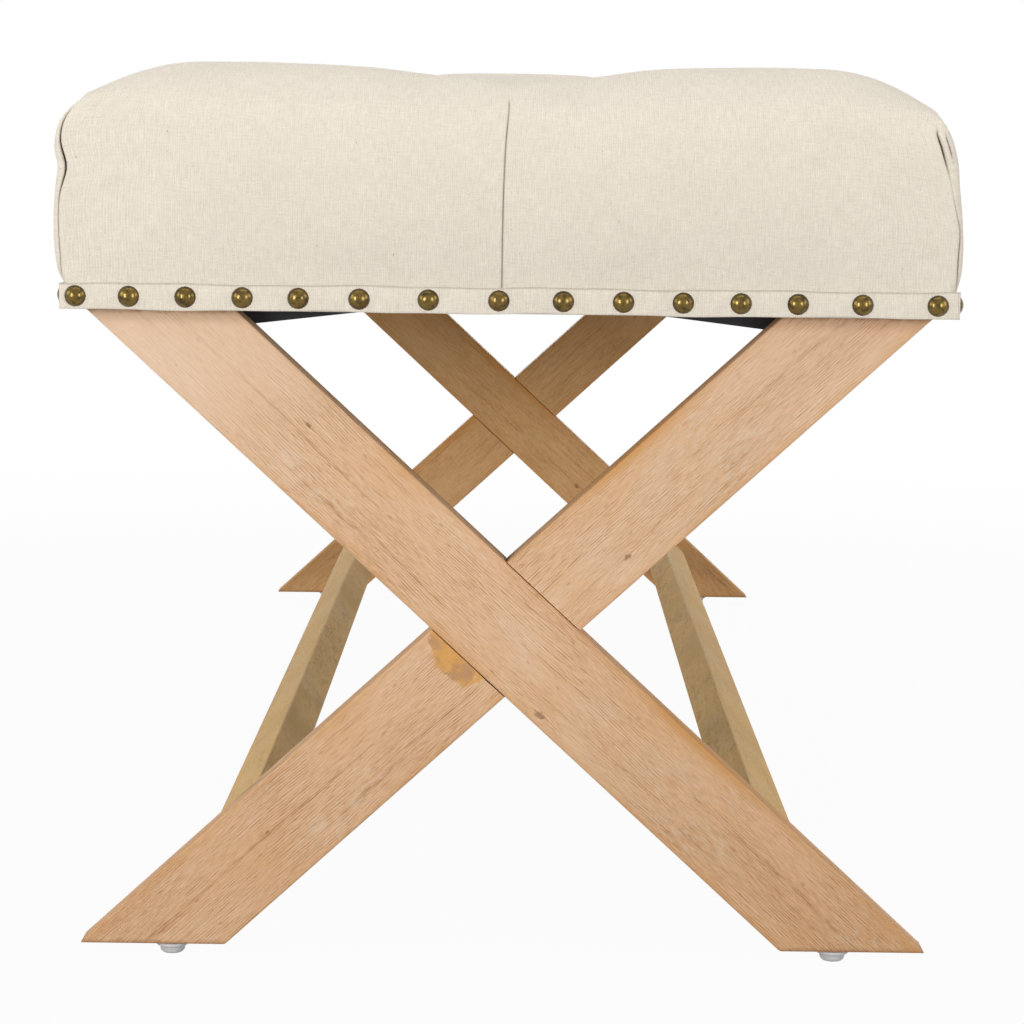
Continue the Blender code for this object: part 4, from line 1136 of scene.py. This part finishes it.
def long_side(along, levels, side, sewn):
    """One long side of the cover, made as the ends are, with a sewn pleat below each outer button."""
    edge_z = top_height(side * EDGE_HALF[0], along, sewn)[:, None]
    height = edge_z + (HEM_Z - edge_z) * levels[None, :]
    column = np.abs(along)[:, None] + 0.0 * height
    end = np.sign(along)[:, None]
    out_x, radius, fold_run, below = corner_values(side * end, height)
    near_corner = np.exp(-((EDGE_HALF[1] - column) / CORNER_BLEND) ** 2)
    middle = stand_out(edge_z - height, height, SIDE_BULGE)
    reach_x = COVER_HALF[0] + middle + (out_x - middle) * near_corner
    reach_y = COVER_HALF[1] + stand_out(below, height, END_BULGE)
    last_run = EDGE_HALF[1] - (reach_y - radius)
    drawn = smooth_step(EDGE_HALF[1] - FOLD_BLEND, EDGE_HALF[1], column)
    run = column - (reach_y - radius) + (fold_run - last_run) * drawn
    x, y, out_dx, out_dy = round_corner(run, reach_x, reach_y, radius)
    shade = np.zeros_like(height)
    if sewn:
        gap = np.maximum(fold_run - run, 0.0)
        to_pleats = np.abs(along[:, None] - np.array(SIDE_PLEATS)[None, :])
        from_pleat = to_pleats.min(axis=1)[:, None] + 0.0 * height
        inward, shade = fold_in(side * end, gap, SIDE_LIP, from_pleat, height, below)
        second = pucker(side * end, gap, height)
        inward = inward + PUCKER_DEPTH * second
        shade = np.maximum(shade, PUCKER_SHADE * second)
        x, y = x - out_dx * inward, y - out_dy * inward
    cloth = np.stack([side * (EDGE_HALF[0] + edge_z - height), along[:, None] + 0.0 * height], axis=2)
    return np.stack([side * x, end * y, height], axis=2), cloth, shade


def cover_patches(across, along, levels, sewn):
    """Top, ends and long sides of the cover, each as places, cloth coordinates and fold shade."""
    x, y = np.meshgrid(across, along, indexing="ij")
    height = top_height(x, y, sewn)
    shade = np.zeros_like(x)
    drift = np.zeros_like(x)
    if sewn:
        from_end = EDGE_HALF[1] - np.abs(y)
        pleat_open = 1.0 - smooth_step(*PLEAT_OVER_EDGE, from_end)
        height = height - groove(np.abs(x)) * pleat_open
        shade = PLEAT_DARKNESS * fold_shade(np.abs(x), *PLEAT_SHADE) * pleat_open
        pull = np.exp(-(x / DRIFT_REACH) ** 2) * np.exp(-(from_end / DRIFT_OVER_EDGE) ** 2)
        drift = -np.sign(y) * curve_through(*PLEAT_DRIFT, height) * pull
    patches = {"top": (np.stack([x + drift, y, height], axis=2), np.stack([x, y], axis=2), shade)}
    for end, name in ((-1, "front"), (1, "back")):
        patches[name] = end_side(across, levels, end, sewn)
    for side, name in ((-1, "left"), (1, "right")):
        patches[name] = long_side(along, levels, side, sewn)
    return patches


def number_points(patches):
    """Point numbers of each patch, where edges that are sewn together share their points."""
    across, along = patches["top"][0].shape[:2]
    levels = patches["front"][0].shape[1]
    top = np.arange(across * along).reshape(across, along)
    numbers, total = {"top": top}, top.size
    for name, edge in (("front", top[:, 0]), ("back", top[:, -1])):
        fresh = total + np.arange(across * (levels - 1)).reshape(across, levels - 1)
        numbers[name] = np.concatenate([edge[:, None], fresh], axis=1)
        total += fresh.size
    for name, edge, corner in (("left", top[0], 0), ("right", top[-1], -1)):
        fresh = total + np.arange((along - 2) * (levels - 1)).reshape(along - 2, levels - 1)
        rows = [numbers["front"][corner][None, 1:], fresh, numbers["back"][corner][None, 1:]]
        numbers[name] = np.concatenate([edge[:, None], np.concatenate(rows)], axis=1)
        total += fresh.size
    return numbers, total


def gather_points(patches, numbers, total, part):
    """One array over all points from the patches' places (part 0) or fold shade (part 2)."""
    width = 3 if part == 0 else 1
    found = np.zeros((total, width))
    for name in ("left", "right", "front", "back", "top"):
        found[numbers[name].ravel()] = patches[name][part].reshape(-1, width)
    return found


def turned_outwards(name, grid):
    """A patch's grid with its columns reversed where its faces would look inwards."""
    return grid[::-1] if name in ("front", "right") else grid


def blend_weights(fine, coarse):
    """Weights that carry values from coarse lines to fine ones, as a bell round each fine line."""
    step = np.abs(np.diff(coarse)).mean()
    weights = np.exp(-((fine[:, None] - coarse[None, :]) / step) ** 2)
    return weights / weights.sum(axis=1, keepdims=True)


RELAX_STEP = 9 * MM
RELAX_LEVELS = 13
RELAX_FRAMES = 20
RELAX_PRESSURE = 4.0
RELAX_CAP = 5 * MM
HELD_TUFT = 15 * MM           # reach of the hold round a button
HELD_TOP = 60 * MM            # and how far below the crown it goes
HELD_HEM = (12 * MM, 2 * MM)  # heights over the band between which the hem's hold grows
HELD_CORNER = 14 * MM


def held_share(points):
    """How firmly each point of the cover is held while it is stuffed: at the buttons, behind the band
    and at the four corner folds."""
    spans = np.hypot(*(points[:, None, :2] - TUFT_POINTS[None]).transpose(2, 0, 1)).min(axis=1)
    on_top = points[:, 2] > CROWN_Z - HELD_TOP
    tuft = np.exp(-(spans / HELD_TUFT) ** 2) * on_top
    hem = smooth_step(*(BAND_TOP_Z + rise for rise in HELD_HEM), points[:, 2])
    from_corner = np.hypot(*(np.abs(points[:, :2]) - COVER_HALF).T)
    corner = np.exp(-(from_corner / HELD_CORNER) ** 2)
    return np.clip(np.maximum.reduce([tuft, hem, corner]), 0.0, 1.0)


def blown_up(start, faces):
    """Places of the cover's points after Blender's cloth has been blown up from inside for a moment, while
    the buttons, the hem and the corners are held."""
    pad = add_mesh("stuffing", start, faces, bpy.data.materials.new("stuffing"))
    group = pad.vertex_groups.new(name="held")
    for number, share in enumerate(held_share(start)):
        group.add([number], float(share), "REPLACE")
    modifier = pad.modifiers.new("cloth", "CLOTH")
    modifier.point_cache.frame_start = 1
    modifier.point_cache.frame_end = RELAX_FRAMES
    modifier.settings.vertex_group_mass = "held"
    modifier.settings.use_pressure = True
    modifier.settings.uniform_pressure_force = RELAX_PRESSURE
    modifier.settings.effector_weights.gravity = 0.0
    for frame_number in range(1, RELAX_FRAMES + 1):
        bpy.context.scene.frame_set(frame_number)
    shaped = pad.evaluated_get(bpy.context.evaluated_depsgraph_get()).to_mesh()
    moved = np.empty(len(start) * 3, np.float32)
    shaped.vertices.foreach_get("co", moved)
    bpy.data.objects.remove(pad)
    bpy.context.scene.frame_set(1)
    return moved.reshape(-1, 3)


def stuffed_moves():
    """Moves of a coarse cover when it is stuffed, each softly capped, with the lines of its grid."""
    across = spaced_lines(EDGE_HALF[0], RELAX_STEP, None)
    along = spaced_lines(EDGE_HALF[1], RELAX_STEP, None)
    levels = np.linspace(0.0, 1.0, RELAX_LEVELS)
    patches = cover_patches(across, along, levels, sewn=False)
    numbers, total = number_points(patches)
    start = gather_points(patches, numbers, total, 0)
    faces = np.concatenate([quads(turned_outwards(name, grid)) for name, grid in numbers.items()])
    move = blown_up(start, faces) - start
    length = np.linalg.norm(move, axis=1, keepdims=True)
    move = move * (RELAX_CAP * np.tanh(length / RELAX_CAP) / np.maximum(length, 1e-9))
    return {name: move[grid] for name, grid in numbers.items()}, across, along, levels


def stuffed(patches, across, along, levels):
    """The cover's patches with the moves of the coarse cover carried over to their finer lines."""
    moves, coarse_across, coarse_along, coarse_levels = stuffed_moves()
    over_across = blend_weights(across, coarse_across)
    over_along = blend_weights(along, coarse_along)
    down = blend_weights(levels, coarse_levels)
    runs = {"top": (over_across, over_along), "front": (over_across, down), "back": (over_across, down),
            "left": (over_along, down), "right": (over_along, down)}
    found = {}
    for name, (first, second) in runs.items():
        move = np.einsum("ia,abk,jb->ijk", first, moves[name], second)
        found[name] = (patches[name][0] + move, *patches[name][1:])
    return found


def cover_bottom(ring, ring_points, first_new):
    """Hem, inner face of the skirt and the flat underside on the deck, which close the cover: the hem
    ring drawn in to the seat frame, raised to the deck, and closed to one middle point."""
    limit = FRAME_HALF + FIT_GAP
    inner = np.minimum(np.abs(ring_points[:, :2]), limit)
    excess = np.maximum(inner.sum(axis=1) - (limit.sum() - FRAME_CORNER_CUT), 0.0)
    inner = np.sign(ring_points[:, :2]) * (inner - excess[:, None] / 2)
    count = len(ring)
    low = np.column_stack([inner, np.full(count, HEM_Z)])
    high = np.column_stack([inner, np.full(count, DECK_Z + FIT_GAP)])
    points = np.concatenate([low, high, [(0.0, 0.0, DECK_Z + FIT_GAP)]])
    rows = np.stack([ring, first_new + np.arange(count), first_new + count + np.arange(count)], axis=1)
    walls = quads(np.concatenate([rows, rows[:1]])[::-1])
    middle = np.full(count, first_new + 2 * count)
    fan = np.stack([np.roll(rows[:, 2], -1), rows[:, 2], middle], axis=1)
    return points, walls, fan


def make_cover(material):
    """The stuffed and sewn seat cover, closed underneath."""
    across = spaced_lines(EDGE_HALF[0], GRID_STEP, (0.0,))
    along = spaced_lines(EDGE_HALF[1], GRID_STEP, SIDE_PLEATS)
    levels = np.linspace(0.0, 1.0, SIDE_LEVELS)
    patches = cover_patches(across, along, levels, sewn=True)
    patches = stuffed(patches, across, along, levels)
    numbers, total = number_points(patches)
    points = gather_points(patches, numbers, total, 0)
    shade = gather_points(patches, numbers, total, 2)[:, 0]
    ring = np.concatenate([numbers["front"][:, -1], numbers["right"][1:-1, -1],
                           numbers["back"][::-1, -1], numbers["left"][-2:0:-1, -1]])
    bottom, walls, fan = cover_bottom(ring, points[ring], total)
    faces, face_uv = [], []
    for name, grid in numbers.items():
        faces.append(quads(turned_outwards(name, grid)))
        face_uv.append(quads(turned_outwards(name, patches[name][1])).reshape(-1, 2))
    points = np.concatenate([points, bottom])
    face_uv += [points[walls.ravel()][:, :2], points[fan.ravel()][:, :2]]
    faces = [*np.concatenate([*faces, walls]), *fan]
    shade = np.concatenate([shade, np.zeros(len(bottom))])
    # its fold value is painted shade in the corner folds, pleats and puckers
    cover = add_mesh("seat_cover_linen", points, faces, material, np.concatenate(face_uv), {"fold": shade})
    seat(cover, "linen", "seat_cover", "foam_pad")


# Turned pieces, trim and dust cover

def turned_heads(profile, sides, centres, first, second, outward):
    """Copies of one turned shape: the profile's radius and rise swept round each centre, with a pole at
    both ends. Gives points, faces and each point's place along the profile."""
    angles = np.arange(sides) * 2 * math.pi / sides
    profile = np.asarray(profile, float)
    radius, rise = profile[1:-1, 0], profile[1:-1, 1]
    circle = np.cos(angles)[:, None] * first + np.sin(angles)[:, None] * second
    rings = radius[:, None, None] * circle[None] + rise[:, None, None] * outward
    poles = profile[[0, -1], 1][:, None] * outward
    shape = np.concatenate([rings.reshape(-1, 3), poles])
    grid = np.arange(len(radius) * sides).reshape(len(radius), sides)
    grid = np.concatenate([grid, grid[:, :1]], axis=1)
    walls = quads(grid)
    top_pole, low_pole = len(shape) - 2, len(shape) - 1
    top = np.stack([grid[0, 1:], grid[0, :-1], np.full(sides, top_pole)], axis=1)
    low = np.stack([grid[-1, :-1], grid[-1, 1:], np.full(sides, low_pole)], axis=1)
    share = np.concatenate([np.repeat(np.linspace(1.0, 0.0, len(radius) + 2)[1:-1], sides), (1.0, 0.0)])
    points = (np.asarray(centres)[:, None, :] + shape[None]).reshape(-1, 3)
    steps = np.arange(len(centres)) * len(shape)
    walls = (steps[:, None, None] + walls[None]).reshape(-1, 4)
    caps = (steps[:, None, None] + np.concatenate([top, low])[None]).reshape(-1, 3)
    return points, [*walls, *caps[:, ::-1]], np.tile(share, len(centres))


def dome(radius, rise, rings):
    """Profile of a dome, from its crown to its rim: a circle's arc."""
    ball = (radius ** 2 + rise ** 2) / (2 * rise)
    steep = math.asin(min(radius / ball, 1.0))
    angle = np.linspace(0.0, steep, rings)
    return np.stack([ball * np.sin(angle), rise - ball * (1 - np.cos(angle))], axis=1)


X_AXIS, Y_AXIS, Z_AXIS = np.eye(3)


def make_buttons(material):
    """Covered buttons: a full dome that rolls in under its rim, seated in the pit of each tuft, with
    painted shade on the cloth under the rim.
    """
    dome_radius, dome_rise = BUTTON_RADIUS * BUTTON_DOME[0], BUTTON_RISE * BUTTON_DOME[1]
    crown = dome(dome_radius, dome_rise, BUTTON_RINGS) + (0.0, BUTTON_RISE - dome_rise)
    profile = [*crown, *(np.array(BUTTON_ROLL) * (BUTTON_RADIUS, BUTTON_RISE))]
    for number in range(1, len(TUFT_POINTS) + 1):
        node = f"tuft_button_{number:02d}"
        low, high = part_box(node)
        centre = np.array(((low.x + high.x) / 2, (low.y + high.y) / 2, high.z - BUTTON_RISE))
        points, faces, share = turned_heads(profile, BUTTON_SIDES, [centre], X_AXIS, Y_AXIS, Z_AXIS)
        loops = np.concatenate([np.asarray(face) for face in faces])
        shade = BUTTON_SHADE * smooth_step(BUTTON_SHADE_TOP, 0.0, share)
        button = add_mesh(f"covered_button_{number:02d}", points, faces, material,
                          points[loops][:, :2], {"fold": shade})
        seat(button, "linen", node)


def nail_line(length):
    """Distances of the nails from the middle of a band, hand-set with a slow drift, as many as the part
    has."""
    first, last = NAIL_END_MARGINS
    reach = length - first - last
    spaces = max(1, round((length - 2 * first) / NAIL_PITCH))
    share = np.arange(spaces + 1) / spaces
    drift = sum(size * np.sin((order + 1) * math.pi * share) for order, size in enumerate(NAIL_WANDER))
    return first - length / 2 + (share + drift / spaces) * reach


# Section of the folded band: stand-out from the cover and height, as shares of thickness and height
BAND_SECTION = np.array(((0.00, 0.05), (0.25, 0.01), (0.70, 0.00), (0.95, 0.03), (1.00, 0.10), (1.00, 0.24),
                         (1.00, 0.40), (1.00, 0.60), (1.00, 0.78), (1.00, 0.91), (0.95, 0.97), (0.70, 1.00),
                         (0.25, 0.99), (0.00, 0.95)))
BAND_PUFF = 0.35 * MM
PUFF_RUN = (3 * MM, 13 * MM)                  # distances from a nail between which the band puffs out
PUFF_LOW = 0.4                                # share of the puff by which it is drawn in at a nail
BAND_WAVER = 0.30 * MM
# Waves of the band's edges: each one's radians per metre and how often it takes up the band's phase
UPPER_WAVES = ((61.0, 1.0), (143.0, 2.0))
LOWER_WAVES = ((47.0, 1.7), (118.0, 1.0))
SECOND_WAVE = 0.6                             # size of the second wave beside the first
BAND_PHASE = 0.9                              # shift of waves and weave from one band to the next
# Painted shade along the band's upper edge, where it meets the cover
BAND_EDGE_SHADE = 0.30
BAND_EDGE_START = 0.96                        # share of the band's height


def edge_waver(along, phase, waves):
    """Waver along an edge of a band: a sine and a weaker, shorter one."""
    first, second = (np.sin(along * count + turn * phase) for count, turn in waves)
    return (first + SECOND_WAVE * second)[:, None]


def band_shape(length, distance, phase):
    """A folded strip carried along its length: its face puffs out between the nails, and its lower and
    upper edges waver slowly, as sums of sines."""
    along = np.linspace(-length / 2, length / 2, round(length / BAND_STEP) + 1)
    from_nail = np.abs(along[:, None] - nail_line(length)[None, :]).min(axis=1)
    puff = BAND_PUFF * (smooth_step(*PUFF_RUN, from_nail) - PUFF_LOW)[:, None]
    outer, height = BAND_SECTION[None, :, 0], BAND_SECTION[None, :, 1]
    upper, lower = (edge_waver(along, phase, waves) for waves in (UPPER_WAVES, LOWER_WAVES))
    out = distance + BAND_THICKNESS * outer + puff * outer * np.sin(math.pi * height)
    z = HEM_Z + BAND_HEIGHT * height + BAND_WAVER * (upper * height + lower * (1 - height))
    points = np.stack([along[:, None] + 0.0 * z, -out, z], axis=2)
    steps = np.diff(BAND_SECTION * (BAND_THICKNESS, BAND_HEIGHT), axis=0)
    round_it = np.concatenate([[0.0], np.cumsum(np.hypot(*steps.T))])
    cloth = np.stack(np.meshgrid(along + phase, round_it, indexing="ij"), axis=2)
    return points, cloth


def turn_about_z(points, angle):
    """Points turned about the bench's upright middle line."""
    cosine, sine = math.cos(angle), math.sin(angle)
    return points @ np.array(((cosine, sine, 0.0), (-sine, cosine, 0.0), (0.0, 0.0, 1.0)))


def make_band(name, length, half, angle, phase, material):
    """The band of one side: the folded strip, closed round its section and at both ends, with painted shade
    along its upper edge.
    """
    points, cloth = band_shape(length, half + FIT_GAP, phase)
    rows, ring = points.shape[:2]
    grid = np.arange(rows * ring).reshape(rows, ring)
    closed = np.concatenate([grid, grid[:, :1]], axis=1)
    cloth = np.concatenate([cloth, cloth[:, -1:] + (0.0, BAND_HEIGHT)], axis=1)
    faces = [*quads(closed), grid[0], grid[-1][::-1]]
    loops = np.concatenate([quads(cloth).reshape(-1, 2), cloth[0, :-1], cloth[-1, -2::-1]])
    placed = turn_about_z(points.reshape(-1, 3), angle)
    upper_edge_shade = BAND_EDGE_SHADE * (BAND_SECTION[:, 1] > BAND_EDGE_START)
    shade = np.tile(upper_edge_shade, rows)
    band = add_mesh(f"trim_band_{name}", placed, faces, material, loops, {"fold": shade})
    seat(band, "linen", f"trim_{name}")


def make_nails(name, length, half, angle, material):
    """The row of domed nails on one side's band."""
    along = nail_line(length)
    face = -(half + FIT_GAP + BAND_THICKNESS)
    middle = HEM_Z + BAND_HEIGHT / 2
    centres = np.stack([along, np.full_like(along, face), np.full_like(along, middle)], axis=1)
    rim = (NAIL_RADIUS * NAIL_RIM[0], -NAIL_SINK * NAIL_RIM[1])
    head = [*dome(NAIL_RADIUS, NAIL_DOME, NAIL_RINGS), rim, (0.0, -NAIL_SINK)]
    points, faces, share = turned_heads(head, NAIL_SIDES, centres, X_AXIS, Z_AXIS, -Y_AXIS)
    nails = add_mesh(f"trim_nails_{name}", turn_about_z(points, angle), faces, material,
                     values={"crown": smooth_step(*NAIL_WORN, share)})
    seat(nails, "antique_brass")


def make_trims(band_material, nail_material):
    """Four bands of folded linen and their rows of domed nails."""
    end_length = 2 * (COVER_HALF[0] + FIT_GAP + BAND_THICKNESS)
    side_length = 2 * COVER_HALF[1]
    runs = (("front", end_length, COVER_HALF[1], 0.0),
            ("back", end_length, COVER_HALF[1], math.pi),
            ("left", side_length, COVER_HALF[0], -math.pi / 2),
            ("right", side_length, COVER_HALF[0], math.pi / 2))
    for order, (name, length, half, angle) in enumerate(runs):
        make_band(name, length, half, angle, BAND_PHASE * order, band_material)
        make_nails(name, length, half, angle, nail_material)


def make_glides(material):
    """Nail-on glides: a thin flange under the foot and a narrower drum that rounds to its wearing face."""
    profile = np.array(GLIDE_PROFILE) * (GLIDE_RADIUS, GLIDE_HEIGHT)
    for name in ("front_a", "front_b", "back_a", "back_b"):
        node = f"glide_{name}"
        low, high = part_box(node)
        centre = np.array(((low.x + high.x) / 2, (low.y + high.y) / 2, 0.0))
        points, faces, _ = turned_heads(profile, GLIDE_SIDES, [centre], X_AXIS, Y_AXIS, Z_AXIS)
        seat(add_mesh(f"turned_glide_{name}", points, faces, material), "glide_plastic", node)


DUST_SAG = 2.5 * MM
DUST_STEP = 12 * MM
DUST_STAPLE_PITCH = 45 * MM
DUST_SCALLOP = 0.5 * MM
DUST_CURVE = (4, 6)           # powers of the sag across and along
DUST_EDGE = 12                # power that keeps the scallops to the edges


def make_dust_cover(material):
    """Thin black cloth stapled under the seat frame: it hangs in a shallow double curve and pulls up in
    small scallops towards the staples along its edges."""
    low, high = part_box("dust_cover")
    x, y = np.meshgrid(np.linspace(low.x, high.x, round((high.x - low.x) / DUST_STEP) + 1),
                       np.linspace(low.y, high.y, round((high.y - low.y) / DUST_STEP) + 1), indexing="ij")
    share_x, share_y = x / high.x, y / high.y
    sag = DUST_SAG * (1 - share_x ** DUST_CURVE[0]) * (1 - share_y ** DUST_CURVE[1])
    edge = np.maximum(np.abs(share_x), np.abs(share_y)) ** DUST_EDGE
    scallop = DUST_SCALLOP * edge * np.sin(math.pi * (x + y) / DUST_STAPLE_PITCH) ** 2
    z = low.z - sag - scallop
    thickness = high.z - low.z
    points = np.concatenate([np.stack([x, y, face], axis=2).reshape(-1, 3) for face in (z, z + thickness)])
    count = x.size
    grid = np.arange(count).reshape(x.shape)
    rim = np.concatenate([grid[:, 0], grid[-1, 1:], grid[-2::-1, -1], grid[0, -2:0:-1]])
    strip = np.stack([rim, rim + count], axis=1)
    strip = np.concatenate([strip, strip[:1]])
    faces = np.concatenate([quads(grid[::-1]), quads(grid + count), quads(strip)])
    sheet = add_mesh("dust_cover_cloth", points, faces, material)
    seat(sheet, "black_cloth", "dust_cover")


# Finishes of the solids that stay

def dress_solids():
    """Gives each wooden and metal solid its material."""
    lengthwise = plain_wood_material("seat frame wood, along", RAIL_WOOD)
    crosswise = plain_wood_material("seat frame wood, across", RAIL_WOOD, along="X")
    dowel = plain_wood_material("dowel wood", PLY_WOOD)
    finishes = {
        **{node: leg_material(node) for node in LEG_BOARDS},
        "stretcher_left": stretcher_material("stretcher wood, left", -1),
        "stretcher_right": stretcher_material("stretcher wood, right", 1),
        "long_rail_left": lengthwise, "long_rail_right": lengthwise,
        "end_rail_front": crosswise, "end_rail_back": crosswise,
        "brace_front": crosswise, "brace_back": crosswise,
        "seat_deck": plain_wood_material("deck plywood", PLY_WOOD)}
    paint, steel = black_paint_material(), steel_material()
    for end in ("front", "back"):
        finishes[f"mount_rail_{end}"] = paint
        for number in range(1, 5):
            finishes[f"leg_bolt_{end}_{number}"] = steel
        for side in ("left", "right"):
            for number in (1, 2):
                finishes[f"dowel_{end}_{side}_{number}"] = dowel
    for node, material in finishes.items():
        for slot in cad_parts[node].material_slots:
            slot.material = material


# Stage, light and camera

FLOOR_HALF = 9.0
FLOOR_SHOW = 0.96             # share of plain white that the camera sees in the floor near the bench
FLOOR_NEAR, FLOOR_FAR = 0.75, 1.9
FLOOR_GREY = (0.46, 0.46, 0.46, 1.0)          # as the light sees it
FLOOR_LINES = 7
WORLD_STRENGTH = 0.30
# Each light: name, place, target, width and height, and power
LIGHTS = (("left softbox", (-1.25, -2.15, 0.60), (0.0, -0.45, 0.28), (0.5, 0.9), 18.2),
          ("right softbox", (1.25, -2.15, 0.60), (0.0, -0.45, 0.28), (0.5, 0.9), 11.7),
          ("overhead", (0.0, -0.1, 2.5), (0.0, -0.1, 0.4), (2.2, 2.2), 24.0),
          ("back softbox", (0.0, 2.4, 0.95), (0.0, 0.45, 0.28), (1.4, 0.9), 15.0),
          ("left side light", (-1.7, -1.0, 0.85), (0.0, 0.2, 0.15), (0.8, 0.8), 5.0),
          ("right side light", (1.7, -1.0, 0.85), (0.0, 0.2, 0.15), (0.8, 0.8), 5.0))


def white_to_camera(tree, lit_shader, output_socket, share):
    """Shows a plain white to the camera and in reflections, mixed with what the light makes of it."""
    path = tree.nodes.new("ShaderNodeLightPath").outputs
    seen = maths(tree, "MAXIMUM", path["Is Camera Ray"], path["Is Glossy Ray"])
    seen = maths(tree, "MAXIMUM", seen, path["Is Transmission Ray"])
    glow = tree.nodes.new("ShaderNodeEmission")
    blend = tree.nodes.new("ShaderNodeMixShader")
    connect(tree, times(tree, seen, share), blend.inputs[0])
    connect(tree, lit_shader, blend.inputs[1])
    connect(tree, glow.outputs[0], blend.inputs[2])
    connect(tree, blend.outputs[0], output_socket)


def make_floor():
    """A plain white floor, level at the glides, wide enough to fill the view."""
    material, tree, shader = new_material("white floor", Roughness=0.9, Specular_IOR_Level=0.0)
    shader.inputs["Base Color"].default_value = FLOOR_GREY
    x, y, _ = split(tree, object_coordinates(tree))
    from_middle = maths(tree, "SQRT", maths(tree, "ADD", times(tree, x, x), times(tree, y, y)))
    share = scaled(tree, ramp(tree, FLOOR_NEAR, FLOOR_FAR, from_middle), 1.0 - FLOOR_SHOW, FLOOR_SHOW)
    white_to_camera(tree, shader.outputs[0], tree.nodes["Material Output"].inputs["Surface"], share)
    lines = np.linspace(-FLOOR_HALF, FLOOR_HALF, FLOOR_LINES)
    x, y = np.meshgrid(lines, lines, indexing="ij")
    points = np.stack([x, y, np.zeros_like(x)], axis=2).reshape(-1, 3)
    floor = add_mesh("floor", points, quads(np.arange(x.size).reshape(x.shape)), material)


def make_world():
    """Even white surroundings: dim as light, plain white to the camera."""
    world = bpy.data.worlds.new("studio")
    world.use_nodes = True
    bpy.context.scene.world = world
    tree = world.node_tree
    lit = tree.nodes["Background"]
    lit.inputs["Color"].default_value = (1.0, 1.0, 1.0, 1.0)
    lit.inputs["Strength"].default_value = WORLD_STRENGTH
    white_to_camera(tree, lit.outputs[0], tree.nodes["World Output"].inputs["Surface"], 1.0)


def add_light(name, place, target, size, power):
    """A soft light of a given width and height that looks at a point."""
    data = bpy.data.lights.new(name, "AREA")
    data.shape = "RECTANGLE"
    data.size, data.size_y = size
    data.energy = power
    light = bpy.data.objects.new(name, data)
    light.location = place
    light.visible_camera = False
    light.rotation_mode = "QUATERNION"
    light.rotation_quaternion = (Vector(target) - Vector(place)).to_track_quat("-Z", "Y")
    bpy.context.scene.collection.objects.link(light)


def make_camera():
    """The photograph's camera: just under the level of the seat's top, before the front end."""
    data = bpy.data.cameras.new("camera")
    data.lens = LENS_MM
    data.sensor_width = SENSOR_MM
    data.clip_end = 50.0
    level_right = np.array((math.cos(CAMERA_YAW), -math.sin(CAMERA_YAW), 0.0))
    level_ahead = np.array((math.sin(CAMERA_YAW), math.cos(CAMERA_YAW), 0.0))
    ahead = math.cos(CAMERA_PITCH) * level_ahead - math.sin(CAMERA_PITCH) * Z_AXIS
    up = math.sin(CAMERA_PITCH) * level_ahead + math.cos(CAMERA_PITCH) * Z_AXIS
    right = math.cos(CAMERA_ROLL) * level_right + math.sin(CAMERA_ROLL) * up
    over = math.cos(CAMERA_ROLL) * up - math.sin(CAMERA_ROLL) * level_right
    turn = Matrix(np.stack([right, over, -ahead], axis=1).tolist()).to_4x4()
    camera = bpy.data.objects.new("camera", data)
    camera.matrix_world = Matrix.Translation(CAMERA_PLACE) @ turn
    bpy.context.scene.collection.objects.link(camera)
    bpy.context.scene.camera = camera


def main():
    """Builds the pieces, dresses the solids and sets the stage."""
    linen = linen_material("seat linen")
    make_cover(linen)
    make_buttons(linen)
    make_trims(linen_material("trim linen"), brass_material())
    make_glides(plastic_material())
    make_dust_cover(black_cloth_material())
    dress_solids()
    make_floor()
    make_world()
    for light in LIGHTS:
        add_light(*light)
    make_camera()
    bpy.context.scene.view_settings.view_transform = "Standard"


main()
